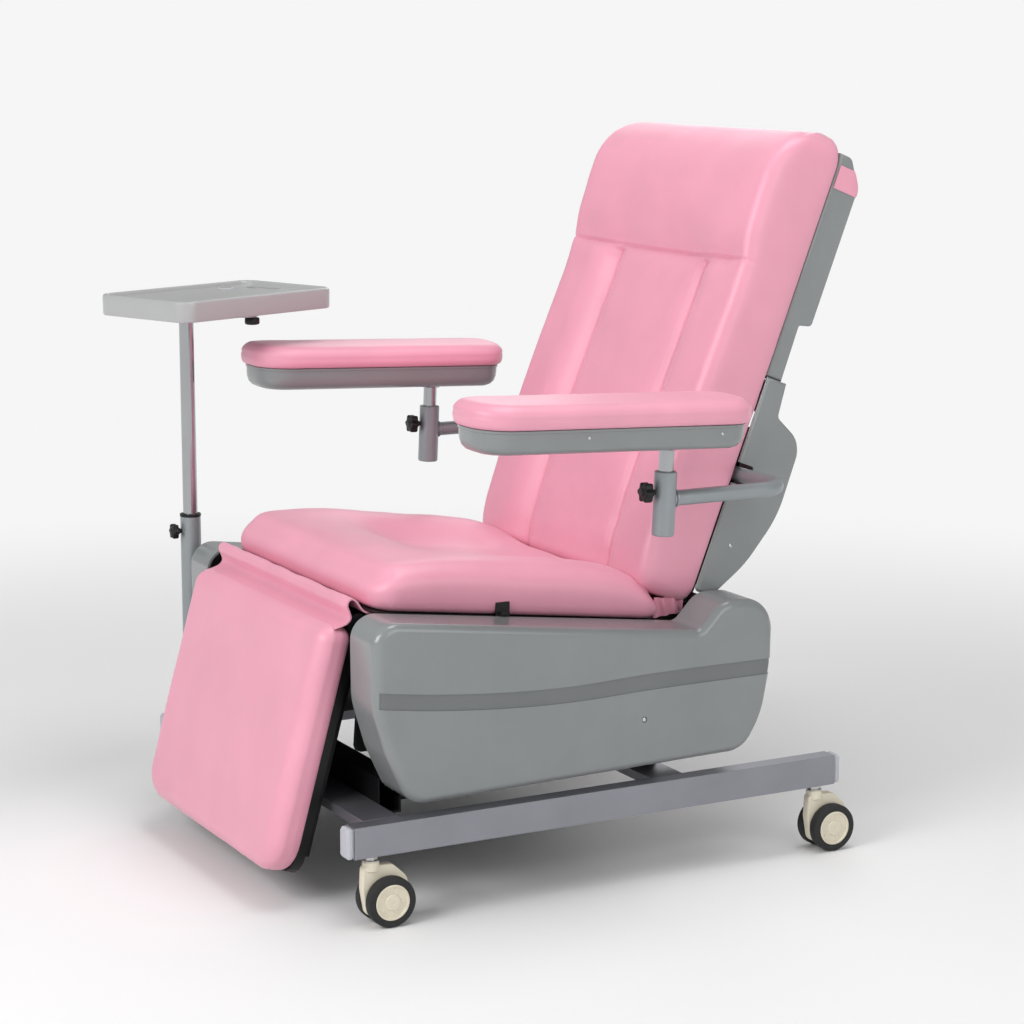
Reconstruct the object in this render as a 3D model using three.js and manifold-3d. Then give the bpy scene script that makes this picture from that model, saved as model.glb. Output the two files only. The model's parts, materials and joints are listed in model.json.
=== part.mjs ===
// Reclining treatment chair on casters: a lifting leg rest, a reclining back that keeps two
// armrests level, and an instrument tray on a telescopic pole.
// Millimetres, +Z up. The chair faces -Y and the sitter's left hand is towards +X.
import * as THREE from 'three';
import Module from 'manifold-3d';
import { mergeVertices } from 'three/addons/utils/BufferGeometryUtils.js';

const wasm = await Module();
wasm.setup();

// ---- driving dimensions, mm ----
const GAP = 0.3;                 // air between neighbouring pieces
const WHEEL_R = 40;
const CASTER_TRAIL = 25;
const TRACK = 385;               // rail centre from the middle of the chair
const RAIL = { width: 30, height: 50, length: 885, bottom: 113, wall: 2.5 };
const RAIL_TOP = RAIL.bottom + RAIL.height;
const CASTER_Y = [33, 855];
const CROSS = { width: 62, thick: 16, front: 28, rear: 542 };
const LOWER = { bottom: RAIL_TOP + GAP, top: 203, inner: 252, outer: 292 };
const SEAT = { front: 85, height: 470, tilt: 7.4, length: 520, half: 288 };
const COVER = { inner: 296, outer: 385, wall: 4, round: 24 };
const LEG = { y: 75, z: 445, tilt: 15.5, half: 270, top: 20, bottom: 416 };
const BACK = { y: 672, z: 392, tilt: 21.5, half: 288, top: 838 };
const YOKE = { s: 257, t: 0, r: 12.5, bend: 45 };
const ARM = { x: 418, y: 535, z: 632, tilt: 2.5, socket: 18, post: 12 };
const LINK = { x: 150, dy: -5, dz: -38, thick: 6 };
const DRIVE = { backCrank: 75, backHalf: 32, legCrank: 70, legHalf: 36 };
const POLE = { x: -421, y: 63, top: 512, outer: 17, inner: 14 };
const TRAY = { bottom: 869, height: 36, width: 232, length: 363, yaw: 20.7, dx: 3, dy: 72.5 };

// ---- finishes ----
const FINISH = {
  rail: [0x85858f, 0.45, 0.7],
  cap: [0xb9bac0, 0.5, 0],
  black: [0x141416, 0.5, 0.3],
  abs: [0x85898a, 0.35, 0],
  vinyl: [0xeaa0b8, 0.5, 0],
  grey: [0x8b8f92, 0.45, 0.5],
  chrome: [0xb5b8bb, 0.2, 1],
  plastic: [0x17171a, 0.45, 0],
  hood: [0xe6dfc8, 0.45, 0],
  tyre: [0x1b1b1b, 0.8, 0],
  steel: [0x9a9a9c, 0.35, 0.9],
};

const rad = THREE.MathUtils.degToRad;
const sin = (a) => Math.sin(rad(a));
const cos = (a) => Math.cos(rad(a));
const chair = new THREE.Group();
chair.name = 'treatment_chair';

function add(name, geometry, finish, parent = chair) {
  const [color, roughness, metalness] = FINISH[finish];
  const material = new THREE.MeshStandardMaterial({ color, roughness, metalness });
  const mesh = new THREE.Mesh(geometry, material);
  mesh.name = name;
  parent.add(mesh);
  return mesh;
}

function frame(name, x, y, z, tiltX, turnZ = 0) {
  const group = new THREE.Group();
  group.name = name;
  group.position.set(x, y, z);
  group.rotation.set(rad(tiltX), 0, rad(turnZ));
  chair.add(group);
  return group;
}

// ---- solid helpers ----
function solid(geometry) {
  const bare = geometry.clone();
  bare.deleteAttribute('normal');
  bare.deleteAttribute('uv');
  const welded = mergeVertices(bare, 1e-4);
  return new wasm.Manifold(new wasm.Mesh({
    numProp: 3,
    vertProperties: new Float32Array(welded.attributes.position.array),
    triVerts: new Uint32Array(welded.index.array),
  }));
}

function surface(manifold) {
  const mesh = manifold.getMesh();
  const geometry = new THREE.BufferGeometry();
  geometry.setAttribute('position', new THREE.BufferAttribute(mesh.vertProperties, 3));
  geometry.setIndex(new THREE.BufferAttribute(mesh.triVerts, 1));
  geometry.computeVertexNormals();
  return geometry;
}

function join(...pieces) {
  return surface(pieces.map(solid).reduce((whole, piece) => whole.add(piece)));
}

function cut(piece, ...tools) {
  return surface(tools.map(solid).reduce((whole, tool) => whole.subtract(tool), solid(piece)));
}

function keep(piece, region) {
  return surface(solid(piece).intersect(solid(region)));
}

function box(x0, x1, y0, y1, z0, z1) {
  const geometry = new THREE.BoxGeometry(x1 - x0, y1 - y0, z1 - z0);
  return geometry.translate((x0 + x1) / 2, (y0 + y1) / 2, (z0 + z1) / 2);
}

function rodX(r, x0, x1, y, z, sides = 12) {
  const geometry = new THREE.CylinderGeometry(r, r, x1 - x0, sides).rotateZ(Math.PI / 2);
  return geometry.translate((x0 + x1) / 2, y, z);
}

function rodY(r, y0, y1, x, z, sides = 12) {
  return new THREE.CylinderGeometry(r, r, y1 - y0, sides).translate(x, (y0 + y1) / 2, z);
}

function rodZ(r, z0, z1, x, y, sides = 12) {
  const geometry = new THREE.CylinderGeometry(r, r, z1 - z0, sides).rotateX(Math.PI / 2);
  return geometry.translate(x, y, (z0 + z1) / 2);
}

// corners are [u, v, radius]; each one is replaced by an arc
function outline(corners, steps = 4) {
  const points = [];
  corners.forEach(([u, v, r], i) => {
    const here = new THREE.Vector2(u, v);
    if (!r) {
      points.push(here);
      return;
    }
    const before = corners[(i + corners.length - 1) % corners.length];
    const after = corners[(i + 1) % corners.length];
    const a = new THREE.Vector2(before[0], before[1]).sub(here).normalize();
    const b = new THREE.Vector2(after[0], after[1]).sub(here).normalize();
    const half = Math.acos(THREE.MathUtils.clamp(a.dot(b), -1, 1)) / 2;
    const centre = a.clone().add(b).normalize().multiplyScalar(r / Math.sin(half)).add(here);
    const reach = r / Math.tan(half);
    const start = a.clone().multiplyScalar(reach).add(here).sub(centre);
    const end = b.clone().multiplyScalar(reach).add(here).sub(centre);
    const from = start.angle();
    let sweep = end.angle() - from;
    if (sweep > Math.PI) sweep -= 2 * Math.PI;
    if (sweep < -Math.PI) sweep += 2 * Math.PI;
    for (let k = 0; k <= steps; k += 1) {
      const angle = from + sweep * k / steps;
      points.push(new THREE.Vector2(Math.cos(angle), Math.sin(angle)).multiplyScalar(r).add(centre));
    }
  });
  return points;
}

function extrude(points, depth, round, steps, inset, holes = []) {
  const shape = new THREE.Shape(points);
  holes.forEach(([u, v, r]) => {
    const hole = new THREE.Path();
    hole.absarc(u, v, r, 0, 2 * Math.PI, true);
    shape.holes.push(hole);
  });
  const geometry = new THREE.ExtrudeGeometry(shape, {
    depth: depth - 2 * round,
    steps: 1,
    curveSegments: 10,
    bevelEnabled: round > 0 || inset > 0,
    bevelThickness: round,
    bevelSize: round,
    bevelOffset: -round - inset,
    bevelSegments: steps,
  });
  return geometry.translate(0, 0, round);
}

// profile in the Y-Z plane, run along X
function prismX(points, x0, x1, round = 0, steps = 3, inset = 0, holes = []) {
  const geometry = extrude(points, x1 - x0, round, steps, inset, holes);
  geometry.applyMatrix4(new THREE.Matrix4().set(0, 0, 1, 0, 1, 0, 0, 0, 0, 1, 0, 0, 0, 0, 0, 1));
  return geometry.translate(x0, 0, 0);
}

// profile in the X-Z plane, run along Y
function prismY(points, y0, y1, round = 0, steps = 3) {
  const geometry = extrude(points, y1 - y0, round, steps, 0);
  geometry.rotateX(Math.PI / 2);
  return geometry.translate(0, y1, 0);
}

// profile in the X-Y plane, run along Z
function prismZ(points, z0, z1, round = 0, steps = 3) {
  return extrude(points, z1 - z0, round, steps, 0).translate(0, 0, z0);
}

function roundedRect(u0, u1, v0, v1, r, steps = 4) {
  return outline([[u0, v0, r], [u1, v0, r], [u1, v1, r], [u0, v1, r]], steps);
}

// flat bar with a round end at each of two centres
function strap(y0, z0, r0, y1, z1, r1, steps = 5) {
  const along = Math.atan2(z1 - z0, y1 - y0);
  const open = Math.acos((r0 - r1) / Math.hypot(y1 - y0, z1 - z0));
  const arc = (y, z, r, from, to) => Array.from({ length: steps + 1 }, (_, i) => {
    const a = from + (to - from) * i / steps;
    return new THREE.Vector2(y + r * Math.cos(a), z + r * Math.sin(a));
  });
  return [
    ...arc(y1, z1, r1, along - open, along + open),
    ...arc(y0, z0, r0, along + open, along + 2 * Math.PI - open),
  ];
}

function mirrored(geometry) {
  return surface(solid(geometry).mirror([1, 0, 0]));
}

// ---- base: two rails, two cross-members, end caps, black lower frame ----
function rail(side) {
  const x0 = side * TRACK - RAIL.width / 2;
  const x1 = side * TRACK + RAIL.width / 2;
  const w = RAIL.wall;
  const tube = box(x0, x1, 0, RAIL.length, RAIL.bottom, RAIL_TOP);
  const inside = box(x0 + w, x1 - w, -1, RAIL.length + 1, RAIL.bottom + w, RAIL_TOP - w);
  const holes = CASTER_Y.map((y) => rodZ(6, RAIL.bottom - 5, RAIL.bottom + 6, side * TRACK, y, 16));
  return cut(tube, inside, ...holes);
}

function railCap(side, end) {
  const x = side * TRACK;
  const y0 = end < 0 ? -12.5 : RAIL.length + GAP;
  const mid = (RAIL.bottom + RAIL_TOP) / 2;
  const w = RAIL.width / 2;
  const h = RAIL.height / 2;
  const face = prismY(roundedRect(x - w, x + w, mid - h, mid + h, 6, 2), y0, y0 + 12.2, 4, 1);
  const plug = RAIL.wall + GAP;
  const p0 = end < 0 ? -2 : RAIL.length - 12;
  return join(face, box(x - w + plug, x + w - plug, p0, p0 + 14, mid - h + plug, mid + h - plug));
}

function crossMember(y0) {
  const x = TRACK - RAIL.width / 2 - GAP;
  const z0 = RAIL_TOP - CROSS.thick;
  const bar = box(-x, x, y0, y0 + CROSS.width, z0, RAIL_TOP);
  return cut(bar, box(-x - 1, x + 1, y0 + 3, y0 + CROSS.width - 3, z0 + 3, RAIL_TOP - 3));
}

function lowerFrame() {
  const y0 = CROSS.front + CROSS.width + GAP;
  const { bottom, top, inner, outer } = LOWER;
  const w = 3;
  const frameBody = join(
    box(-outer, outer, y0, y0 + 40, 143, top),
    box(-outer, -inner, y0 + 30, 545, bottom, top),
    box(inner, outer, y0 + 30, 545, bottom, top),
    box(-inner - 5, inner + 5, 505, 545, bottom, top),
    box(-190, -150, 540, 565, bottom, top),
    box(150, 190, 540, 565, bottom, top),
    box(-outer, outer, 560, 600, bottom, top),
  );
  return cut(
    frameBody,
    box(-outer - 5, outer + 5, y0 + w, y0 + 40 - w, 143 + w, top - w),
    box(-outer - 5, outer + 5, 505 + w, 545 - w, bottom + w, top - w),
    box(-outer - 5, outer + 5, 560 + w, 600 - w, bottom + w, top - w),
    box(-outer + w, -inner - w, y0 + 20, 530, bottom + w, top - w),
    box(inner + w, outer - w, y0 + 20, 530, bottom + w, top - w),
  );
}

// ---- seat frame: tilted side members, uprights, pivot plates, drive mounts ----
function seatLine(y, drop) {
  return SEAT.height - (y - SEAT.front) * Math.tan(rad(SEAT.tilt)) - drop;
}

function seatBeam(x0, x1, y0, y1, deep, drop = 4) {
  return prismX([
    new THREE.Vector2(y0, seatLine(y0, drop)),
    new THREE.Vector2(y1, seatLine(y1, drop)),
    new THREE.Vector2(y1, seatLine(y1, drop + deep)),
    new THREE.Vector2(y0, seatLine(y0, drop + deep)),
  ], x0, x1);
}

function seatFrame() {
  const side = (sign) => {
    const at = (a, b) => (sign > 0 ? [a, b] : [-b, -a]);
    const [p0, p1] = at(252, 260);
    const [u0, u1] = at(LOWER.inner, LOWER.outer);
    const [s0, s1] = at(222, 256);
    const front = outline([
      [LEG.y - 2, LEG.z + 10, 0], [225, 425, 0], [225, 240, 10], [66, 240, 10],
      [LEG.y + 5, LEG.z - 22, 0],
    ], 2);
    return [
      seatBeam(u0, u1, 110, 640, 34),
      prismX(front, p0, p1),
      rodX(18, p0, p1, LEG.y, LEG.z),
      prismX(strap(612, 374, 21, BACK.y, BACK.z, 28), p0, p1),
      rodX(10, s0, s1, LEG.y, LEG.z),
      rodX(10, s0, s1, BACK.y, BACK.z),
      box(u0, u1, 180, 220, LOWER.top + GAP, seatLine(200, 20)),
      box(u0, u1, 470, 510, LOWER.top + GAP, seatLine(490, 20)),
    ];
  };
  const frameBody = join(
    seatBeam(-286, 286, 90, 596, 4, GAP),
    ...side(1),
    ...side(-1),
    box(-255, 255, 150, 180, seatLine(165, 38), seatLine(165, 3)),
    box(-255, 255, 600, 630, 352, seatLine(620, 4)),
    box(-255, 255, 185, 215, 302, 344),
    box(-255, 255, 185, 189, 248, 320),
    box(-255, 255, 475, 505, 362, 402),
    prismX(strap(612, 366, 13, BACK.y + LINK.dy, BACK.z + LINK.dz, 11), LINK.x + 8, LINK.x + 16),
    rodX(5, LINK.x - 3, LINK.x + 10, BACK.y + LINK.dy, BACK.z + LINK.dz, 8),
  );
  const w = 3;
  const inside = (u0, u1) => [
    seatBeam(u0 + w, u1 - w, 100, 650, 34 - 2 * w, 4 + w),
    box(u0 + w, u1 - w, 180 + w, 220 - w, LOWER.top - 5, seatLine(200, 20)),
    box(u0 + w, u1 - w, 470 + w, 510 - w, LOWER.top - 5, seatLine(490, 20)),
  ];
  return cut(
    frameBody,
    ...inside(LOWER.inner, LOWER.outer),
    ...inside(-LOWER.outer, -LOWER.inner),
    box(-265, 265, 150 + w, 180 - w, seatLine(165, 35), seatLine(165, 11)),
    box(-265, 265, 600 + w, 630 - w, 359, 382),
  );
}

// ---- linear drives: fixed body, sliding rod with a slotted eye ----
function driveBody(x, z, yOpen, yShut, motorZ) {
  const lo = Math.min(yOpen, yShut);
  const hi = Math.max(yOpen, yShut);
  const s = Math.sign(yOpen - yShut);
  const span = (a, b) => [Math.min(a, b), Math.max(a, b)];
  const [g0, g1] = span(yShut, yShut + s * 60);
  const [m0, m1] = span(yShut + s * 55, yShut + s * 160);
  const [b0, b1] = span(yShut + s * 12, yOpen + s * 5);
  const body = join(
    rodY(19, lo, hi, x, z),
    prismY(roundedRect(x - 32, x + 32, Math.min(z - 24, motorZ - 30),
      Math.max(z + 22, motorZ + 28), 8, 1), g0, g1),
    rodY(27, m0, m1, x, motorZ),
  );
  return cut(body, rodY(10, b0, b1, x, z));
}

function driveRod(x, z, yEye, yInner, slotLow, slotHigh) {
  const s = Math.sign(yInner - yEye);
  const [r0, r1] = s > 0 ? [yEye + 12, yInner] : [yInner, yEye - 12];
  const rim = roundedRect(yEye - 16, yEye + 16, slotLow - 9, slotHigh + 9, 9, 2);
  const slot = roundedRect(yEye - 7.5, yEye + 7.5, slotLow, slotHigh, 7, 2);
  const eye = cut(prismX(rim, x - 6, x + 6), prismX(slot, x - 8, x + 8));
  return join(eye, rodY(9, r0, r1, x, z));
}

// ---- side cover: moulded shell, open towards the seat ----
function coverOutline(steps) {
  return outline([
    [43, 475, 36], [632, 401, 22], [670, 447, 30], [774, 445, 64], [764, 318, 90],
    [704, 189, 52], [104, 179, 42], [66, 262, 60], [44, 338, 60],
  ], steps);
}

function sideCover() {
  const { inner, outer, wall, round } = COVER;
  const skin = prismX(coverOutline(3), inner - round - 8, outer, round, 3);
  const hollow = prismX(coverOutline(2), inner - round - 12, outer - wall, round, 1, wall);
  const stripe = outline([
    [20, 344, 0], [150, 326, 60], [245, 317, 80], [375, 311, 200], [530, 314, 200], [790, 315, 0],
    [790, 341, 0], [530, 341, 200], [375, 337, 200], [245, 343, 80], [150, 352, 60], [20, 370, 0],
  ], 1);
  const band = prismX(stripe, outer - 1.5, outer + 5);
  const fixing = rodX(4, outer - 1, outer + 5, 522, 266, 8);
  return keep(cut(skin, hollow, band, fixing), box(inner, outer + 1, 0, 820, 150, 480));
}

// ---- casters ----
function casterStem(x, y) {
  return join(
    rodZ(5.5, 99, 150, x, y, 8),
    rodZ(11, 105, RAIL.bottom - GAP, x, y, 6),
  );
}

function casterHood() {
  const r = CASTER_TRAIL;
  const plate = outline([
    [-15, 98, 7], [34, 96, 14], [60, 72, 22], [62, 36, 22], [r, 6, 20], [-10, 18, 16], [-17, 60, 20],
  ], 2);
  const body = join(prismX(plate, -8, 8), rodZ(13, 88, 104.6, 0, 0));
  return cut(body, rodZ(6.4, 97, 110, 0, 0, 8), rodX(5.8, -10, 10, r, WHEEL_R, 10));
}

function wheelPair() {
  const half = [
    [5, 9.5], [37.5, 9.5], [WHEEL_R, 12], [WHEEL_R, 25], [37.5, 27.5], [0, 27.5],
  ];
  const other = half.map(([r, h]) => [r, -h]).reverse();
  const points = [...other, ...half].map(([r, h]) => new THREE.Vector2(r, h));
  return new THREE.LatheGeometry(points, 16).rotateZ(-Math.PI / 2);
}

// ---- cushions ----
function seatCushion() {
  const profile = outline([
    [0, GAP, 0], [-4, 73, 34], [90, 81, 60], [260, 76, 200], [SEAT.length, 60, 26],
    [SEAT.length, GAP, 0],
  ], 3);
  return prismX(profile, -SEAT.half, SEAT.half, 24, 2);
}

function backPoint(s, t, r) {
  return [-t, s, r];
}

function backCushion() {
  const profile = outline([
    backPoint(52, 19.5, 0), backPoint(52, 118, 34), backPoint(560, 120, 60),
    backPoint(640, 143, 80), backPoint(770, 143, 70), backPoint(BACK.top, 96, 44),
    backPoint(BACK.top, 19.5, 0),
  ], 3);
  return prismX(profile, -BACK.half, BACK.half, 26, 2);
}

function legCushion() {
  const face = roundedRect(-LEG.half, LEG.half, -LEG.bottom, -LEG.top, 48, 4);
  return prismY(face, -58, -12.3, 16, 2);
}

// ---- back shells: hollow, open towards the cushion ----
function upperShell() {
  const profile = outline([
    backPoint(426, 18, 0), backPoint(812, 18, 0), backPoint(812, -4, 12), backPoint(770, -33, 30),
    backPoint(530, -33, 8), backPoint(524, -14, 4), backPoint(426, -16, 0),
  ], 3);
  const half = BACK.half - 3;
  const hollow = outline([
    backPoint(400, 30, 0), backPoint(808.5, 30, 0), backPoint(808.5, -4, 10),
    backPoint(768, -29.5, 28), backPoint(534, -29.5, 4), backPoint(527.5, -10.5, 4),
    backPoint(400, -12.5, 0),
  ], 3);
  return cut(prismX(profile, -half, half, 5, 1), prismX(hollow, -half + 3.5, half - 3.5));
}

function lowerShell() {
  const profile = outline([
    backPoint(50, 18, 8), backPoint(425.5, 18, 0), backPoint(425.5, -24, 0),
    backPoint(368, -30, 10), backPoint(340, -84, 40), backPoint(210, -86, 200),
    backPoint(120, -58, 200), backPoint(50, -19, 10),
  ], 3);
  const hollow = outline([
    backPoint(20, 30, 0), backPoint(440, 30, 0), backPoint(440, -20, 0), backPoint(372, -26, 8),
    backPoint(342, -80, 36), backPoint(210, -82, 196), backPoint(122, -54, 196),
    backPoint(20, -2, 0),
  ], 3);
  const notch = roundedRect(-22, 14, 240, 276, 4, 2);
  const linkage = outline([
    backPoint(0, -6, 0), backPoint(150, -6, 0), backPoint(150, -120, 0), backPoint(0, -120, 0),
  ]);
  const half = 291;
  return cut(
    prismX(profile, -half, half, 6, 1),
    prismX(hollow, -half + 4, half - 4),
    prismX(notch, -half - 5, half + 5),
    prismX(linkage, -250, 250),
  );
}

function headStrap() {
  const half = BACK.half - 3 + GAP;
  const outer = prismX(roundedRect(-17, 36.5, 756, 800, 3, 1), -half - 3, half + 3);
  const inner = box(-half, half, -30, 33.4, 740, 768);
  const shell = prismX(outline([
    backPoint(700, 30, 0), backPoint(812.4, 30, 0), backPoint(812.4, -4.2, 12),
    backPoint(770, -33.4, 30), backPoint(700, -33.4, 0),
  ], 3), -half, half);
  return cut(outer, inner, shell);
}

function backFrame() {
  const bar = outline([
    backPoint(0, 16, 0), backPoint(800, 17, 4), backPoint(800, -8, 4), backPoint(300, -12, 20),
    backPoint(280, -24, 10), backPoint(230, -24, 10), backPoint(0, -16, 0),
  ], 2);
  const plate = (x0, x1) => cut(
    join(prismX(bar, x0, x1), rodX(18, x0, x1, 0, 0)),
    rodX(10.6, x0 - 1, x1 + 1, 0, 0),
    rodX(YOKE.r + 0.9, x0 - 1, x1 + 1, -YOKE.t, YOKE.s),
  );
  const rest = BACK.tilt;
  const py = DRIVE.backCrank * sin(DRIVE.backHalf);
  const pz = -DRIVE.backCrank * cos(DRIVE.backHalf);
  const pinS = sin(rest) * py + cos(rest) * pz;
  const pinT = -cos(rest) * py + sin(rest) * pz;
  return join(
    plate(226, 234),
    plate(-234, -226),
    box(-230, 230, -17, -3, 33, 52),
    rodX(7, -291, 291, -11, 40, 10),
    box(-230, 230, -17, 6, 440, 465),
    box(-230, 230, -17, 6, 760, 785),
    prismX(strap(-10, 43, 9, -pinT, pinS, 14), 58, 68),
    rodX(6, 62, 92, -pinT, pinS, 10),
  );
}

// ---- leg rest ----
function legFrame() {
  const arm = (x0, x1) => cut(
    join(rodX(18.5, x0, x1, 0, 0), box(x0, x1, 4.3, 24, -380, -8)),
    rodX(10.6, x0 - 1, x1 + 1, 0, 0),
  );
  const lean = LEG.tilt;
  const py = DRIVE.legCrank * sin(DRIVE.legHalf);
  const pz = -DRIVE.legCrank * cos(DRIVE.legHalf);
  const pinY = py * cos(lean) - pz * sin(lean);
  const pinZ = py * sin(lean) + pz * cos(lean);
  return join(
    arm(226, 234),
    arm(-234, -226),
    box(-230, 230, 4.3, 20, -84, -64),
    box(-230, 230, 4.3, 20, -350, -330),
    prismX(strap(14, -72, 9, pinY, pinZ, 13), -68, -58),
    rodX(6, -92, -62, pinY, pinZ, 10),
  );
}

// ---- arms: one bent tube through the back, a socket at each end ----
function tubeElbow(from, corner, to, r) {
  const path = new THREE.QuadraticBezierCurve3(from, corner, to);
  const ring = new THREE.Shape();
  ring.absarc(0, 0, r, 0, 2 * Math.PI, false);
  return new THREE.ExtrudeGeometry(ring, {
    steps: 4, curveSegments: 6, bevelEnabled: false, extrudePath: path,
  });
}

function tiltedAtArm(geometry, x) {
  return geometry.rotateX(-rad(ARM.tilt)).translate(x, ARM.y, ARM.z);
}

function armYoke(axis) {
  const { r, bend } = YOKE;
  const half = (sign) => {
    const x = sign * ARM.x;
    const corner = new THREE.Vector3(x, axis.y, axis.z);
    const from = new THREE.Vector3(x, axis.y - bend, axis.z);
    const to = new THREE.Vector3(x - sign * bend, axis.y, axis.z);
    const bar = rodY(r, ARM.y, axis.y - bend + 0.2, x, axis.z, 12);
    return [
      bar,
      tubeElbow(from, corner, to, r),
      tiltedAtArm(prismZ(ringPoints(ARM.socket), -59, 44, 3, 1), x),
    ];
  };
  const pinY = axis.y + LINK.dy;
  const pinZ = axis.z + LINK.dz;
  const body = join(
    ...half(1),
    ...half(-1),
    rodX(r, -ARM.x + bend - 0.2, ARM.x - bend + 0.2, axis.y, axis.z, 12),
    prismX(strap(axis.y, axis.z, 15, pinY, pinZ, 10), LINK.x + 8, LINK.x + 16),
    rodX(5, LINK.x - 3, LINK.x + 10, pinY, pinZ, 8),
  );
  const bores = [1, -1].map((sign) => tiltedAtArm(rodZ(ARM.post + 0.4, -56, 60, 0, 0, 20),
    sign * ARM.x));
  return cut(body, ...bores);
}

function ringPoints(r, sides = 18) {
  return Array.from({ length: sides }, (_, i) => new THREE.Vector2(
    r * Math.cos(2 * Math.PI * i / sides), r * Math.sin(2 * Math.PI * i / sides)));
}

function levelLink(axis) {
  const y0 = BACK.y + LINK.dy;
  const z0 = BACK.z + LINK.dz;
  const y1 = axis.y + LINK.dy;
  const z1 = axis.z + LINK.dz;
  const lean = Math.atan2(y1 - y0, z1 - z0);
  const length = Math.hypot(y1 - y0, z1 - z0);
  const bar = prismX(roundedRect(-9, 9, -9, length + 9, 8.5, 3), LINK.x, LINK.x + LINK.thick,
    0, 1, 0, [[0, 0, 5.6], [0, length, 5.9]]);
  return bar.rotateX(-lean).translate(0, y0, z0);
}

function padOutline(inset) {
  const w = 74 - inset;
  return outline([
    [-w, -365 + inset, 62 - inset], [w, -365 + inset, 62 - inset], [w, 125 - inset, 44 - inset],
    [-w, 125 - inset, 44 - inset],
  ], 4);
}

function armTray() {
  const tub = prismZ(padOutline(8), 84, 146, 22, 2);
  return cut(tub, box(-100, 100, -400, 200, 124, 160), rodZ(ARM.post + 0.5, 80, 113, 0, 0, 20));
}

function knobY(y0, lobes, r, x, z, shaftTo) {
  const points = Array.from({ length: lobes * 2 }, (_, i) => {
    const a = 2 * Math.PI * i / (lobes * 2);
    const reach = r * (0.92 + 0.08 * Math.cos(lobes * a));
    return new THREE.Vector2(x + reach * Math.cos(a), z + reach * Math.sin(a));
  });
  return join(prismY(points, y0, y0 + 18, 3, 1), rodY(4, y0 + 16, shaftTo, x, z, 8));
}

// ---- tray and pole ----
function poleOuter() {
  const { x, y, top, outer, inner } = POLE;
  const railFace = -TRACK - RAIL.width / 2;
  const body = join(
    rodZ(outer, 118, top, x, y, 20),
    box(railFace - 8, railFace - GAP, y - 30, y + 30, 119, 157),
  );
  return cut(body, rodZ(inner + 0.5, 170, top + 5, x, y, 20), rodY(4.6, y - 30, y - 10, x, 484, 8));
}

function trayBracket() {
  const hub = rodZ(24, 858, 891, 0, 0, 16);
  const plate = outline([
    [-20, -14, 8], [20, -22, 8], [118, 52, 14], [98, 86, 14], [-16, 22, 8],
  ], 2);
  const wedge = prismZ(plate, 880, 891, 0, 1);
  return cut(join(hub, wedge), rodZ(POLE.inner + 0.5, 850, 886, 0, 0, 20), rodZ(4.8, 870, 888, 98, 66, 8));
}

function tray() {
  const x0 = TRAY.dx - TRAY.width / 2;
  const x1 = TRAY.dx + TRAY.width / 2;
  const y0 = TRAY.dy - TRAY.length / 2;
  const y1 = TRAY.dy + TRAY.length / 2;
  const top = TRAY.bottom + TRAY.height;
  const body = prismZ(roundedRect(x0, x1, y0, y1, 30, 4), TRAY.bottom, top, 4, 1);
  const recess = prismZ(roundedRect(x0 + 12, x1 - 12, y0 + 12, y1 - 12, 20, 3), top - 9, top + 5);
  const under = prismZ(roundedRect(x0 + 4, x1 - 4, y0 + 4, y1 - 4, 27, 3), TRAY.bottom - 5, top - 13);
  const hole = rodZ(11, TRAY.bottom, top, x0 + 30, TRAY.dy + 100, 12);
  return cut(body, recess, under, hole);
}

// ---- assembly ----
for (const side of [1, -1]) {
  const name = side > 0 ? 'left' : 'right';
  add(`base_rail_${name}`, rail(side), 'rail');
  add(`rail_cap_front_${name}`, railCap(side, -1), 'cap');
  add(`rail_cap_rear_${name}`, railCap(side, 1), 'cap');
  CASTER_Y.forEach((y, i) => {
    const corner = `${i ? 'rear' : 'front'}_${name}`;
    add(`caster_stem_${corner}`, casterStem(side * TRACK, y), 'steel');
    add(`caster_hood_${corner}`, casterHood(), 'hood').position.set(side * TRACK, y, 0);
    add(`caster_wheels_${corner}`, wheelPair(), 'tyre')
      .position.set(side * TRACK, y + CASTER_TRAIL, WHEEL_R);
  });
}
add('base_cross_front', crossMember(CROSS.front), 'rail');
add('base_cross_rear', crossMember(CROSS.rear), 'rail');
add('lower_frame', lowerFrame(), 'black');
add('seat_frame', seatFrame(), 'black');
add('side_cover_left', sideCover(), 'abs');
add('side_cover_right', mirrored(sideCover()), 'abs');
add('control_box', cut(
  prismX(roundedRect(506, 600, LOWER.top + GAP, 262, 6, 2), -80, 80),
  box(-15, 15, 590, 610, 218, 240),
), 'plastic');
add('handset_hook', join(box(290.3, 294.3, 300, 324, 438.5, 464), box(290.3, 302, 304, 320, 444, 450)),
  'plastic');

const seat = frame('seat_group', 0, SEAT.front, SEAT.height, -SEAT.tilt);
add('seat_cushion', seatCushion(), 'vinyl', seat);
add('knee_flap', prismX(roundedRect(59, 77, 470, 497, 8, 3), -262, 262), 'vinyl');

const legPinZ = LEG.z - DRIVE.legCrank * (1 + cos(DRIVE.legHalf)) / 2;
const legPinY = LEG.y + DRIVE.legCrank * sin(DRIVE.legHalf);
const backPinZ = BACK.z - DRIVE.backCrank * (1 + cos(DRIVE.backHalf)) / 2;
const backPinY = BACK.y + DRIVE.backCrank * sin(DRIVE.backHalf);
add('leg_drive', driveBody(-82, legPinZ, 205, 474, legPinZ - 50), 'plastic');
add('leg_drive_rod', driveRod(-82, legPinZ, legPinY, 400, legPinZ - 14.5, legPinZ + 14.5), 'steel');
add('back_drive', driveBody(82, backPinZ, 590, 216, backPinZ + 48), 'plastic');
add('back_drive_rod', driveRod(82, backPinZ, backPinY, 440, backPinZ - 13.5, backPinZ + 13.5),
  'steel');

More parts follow.
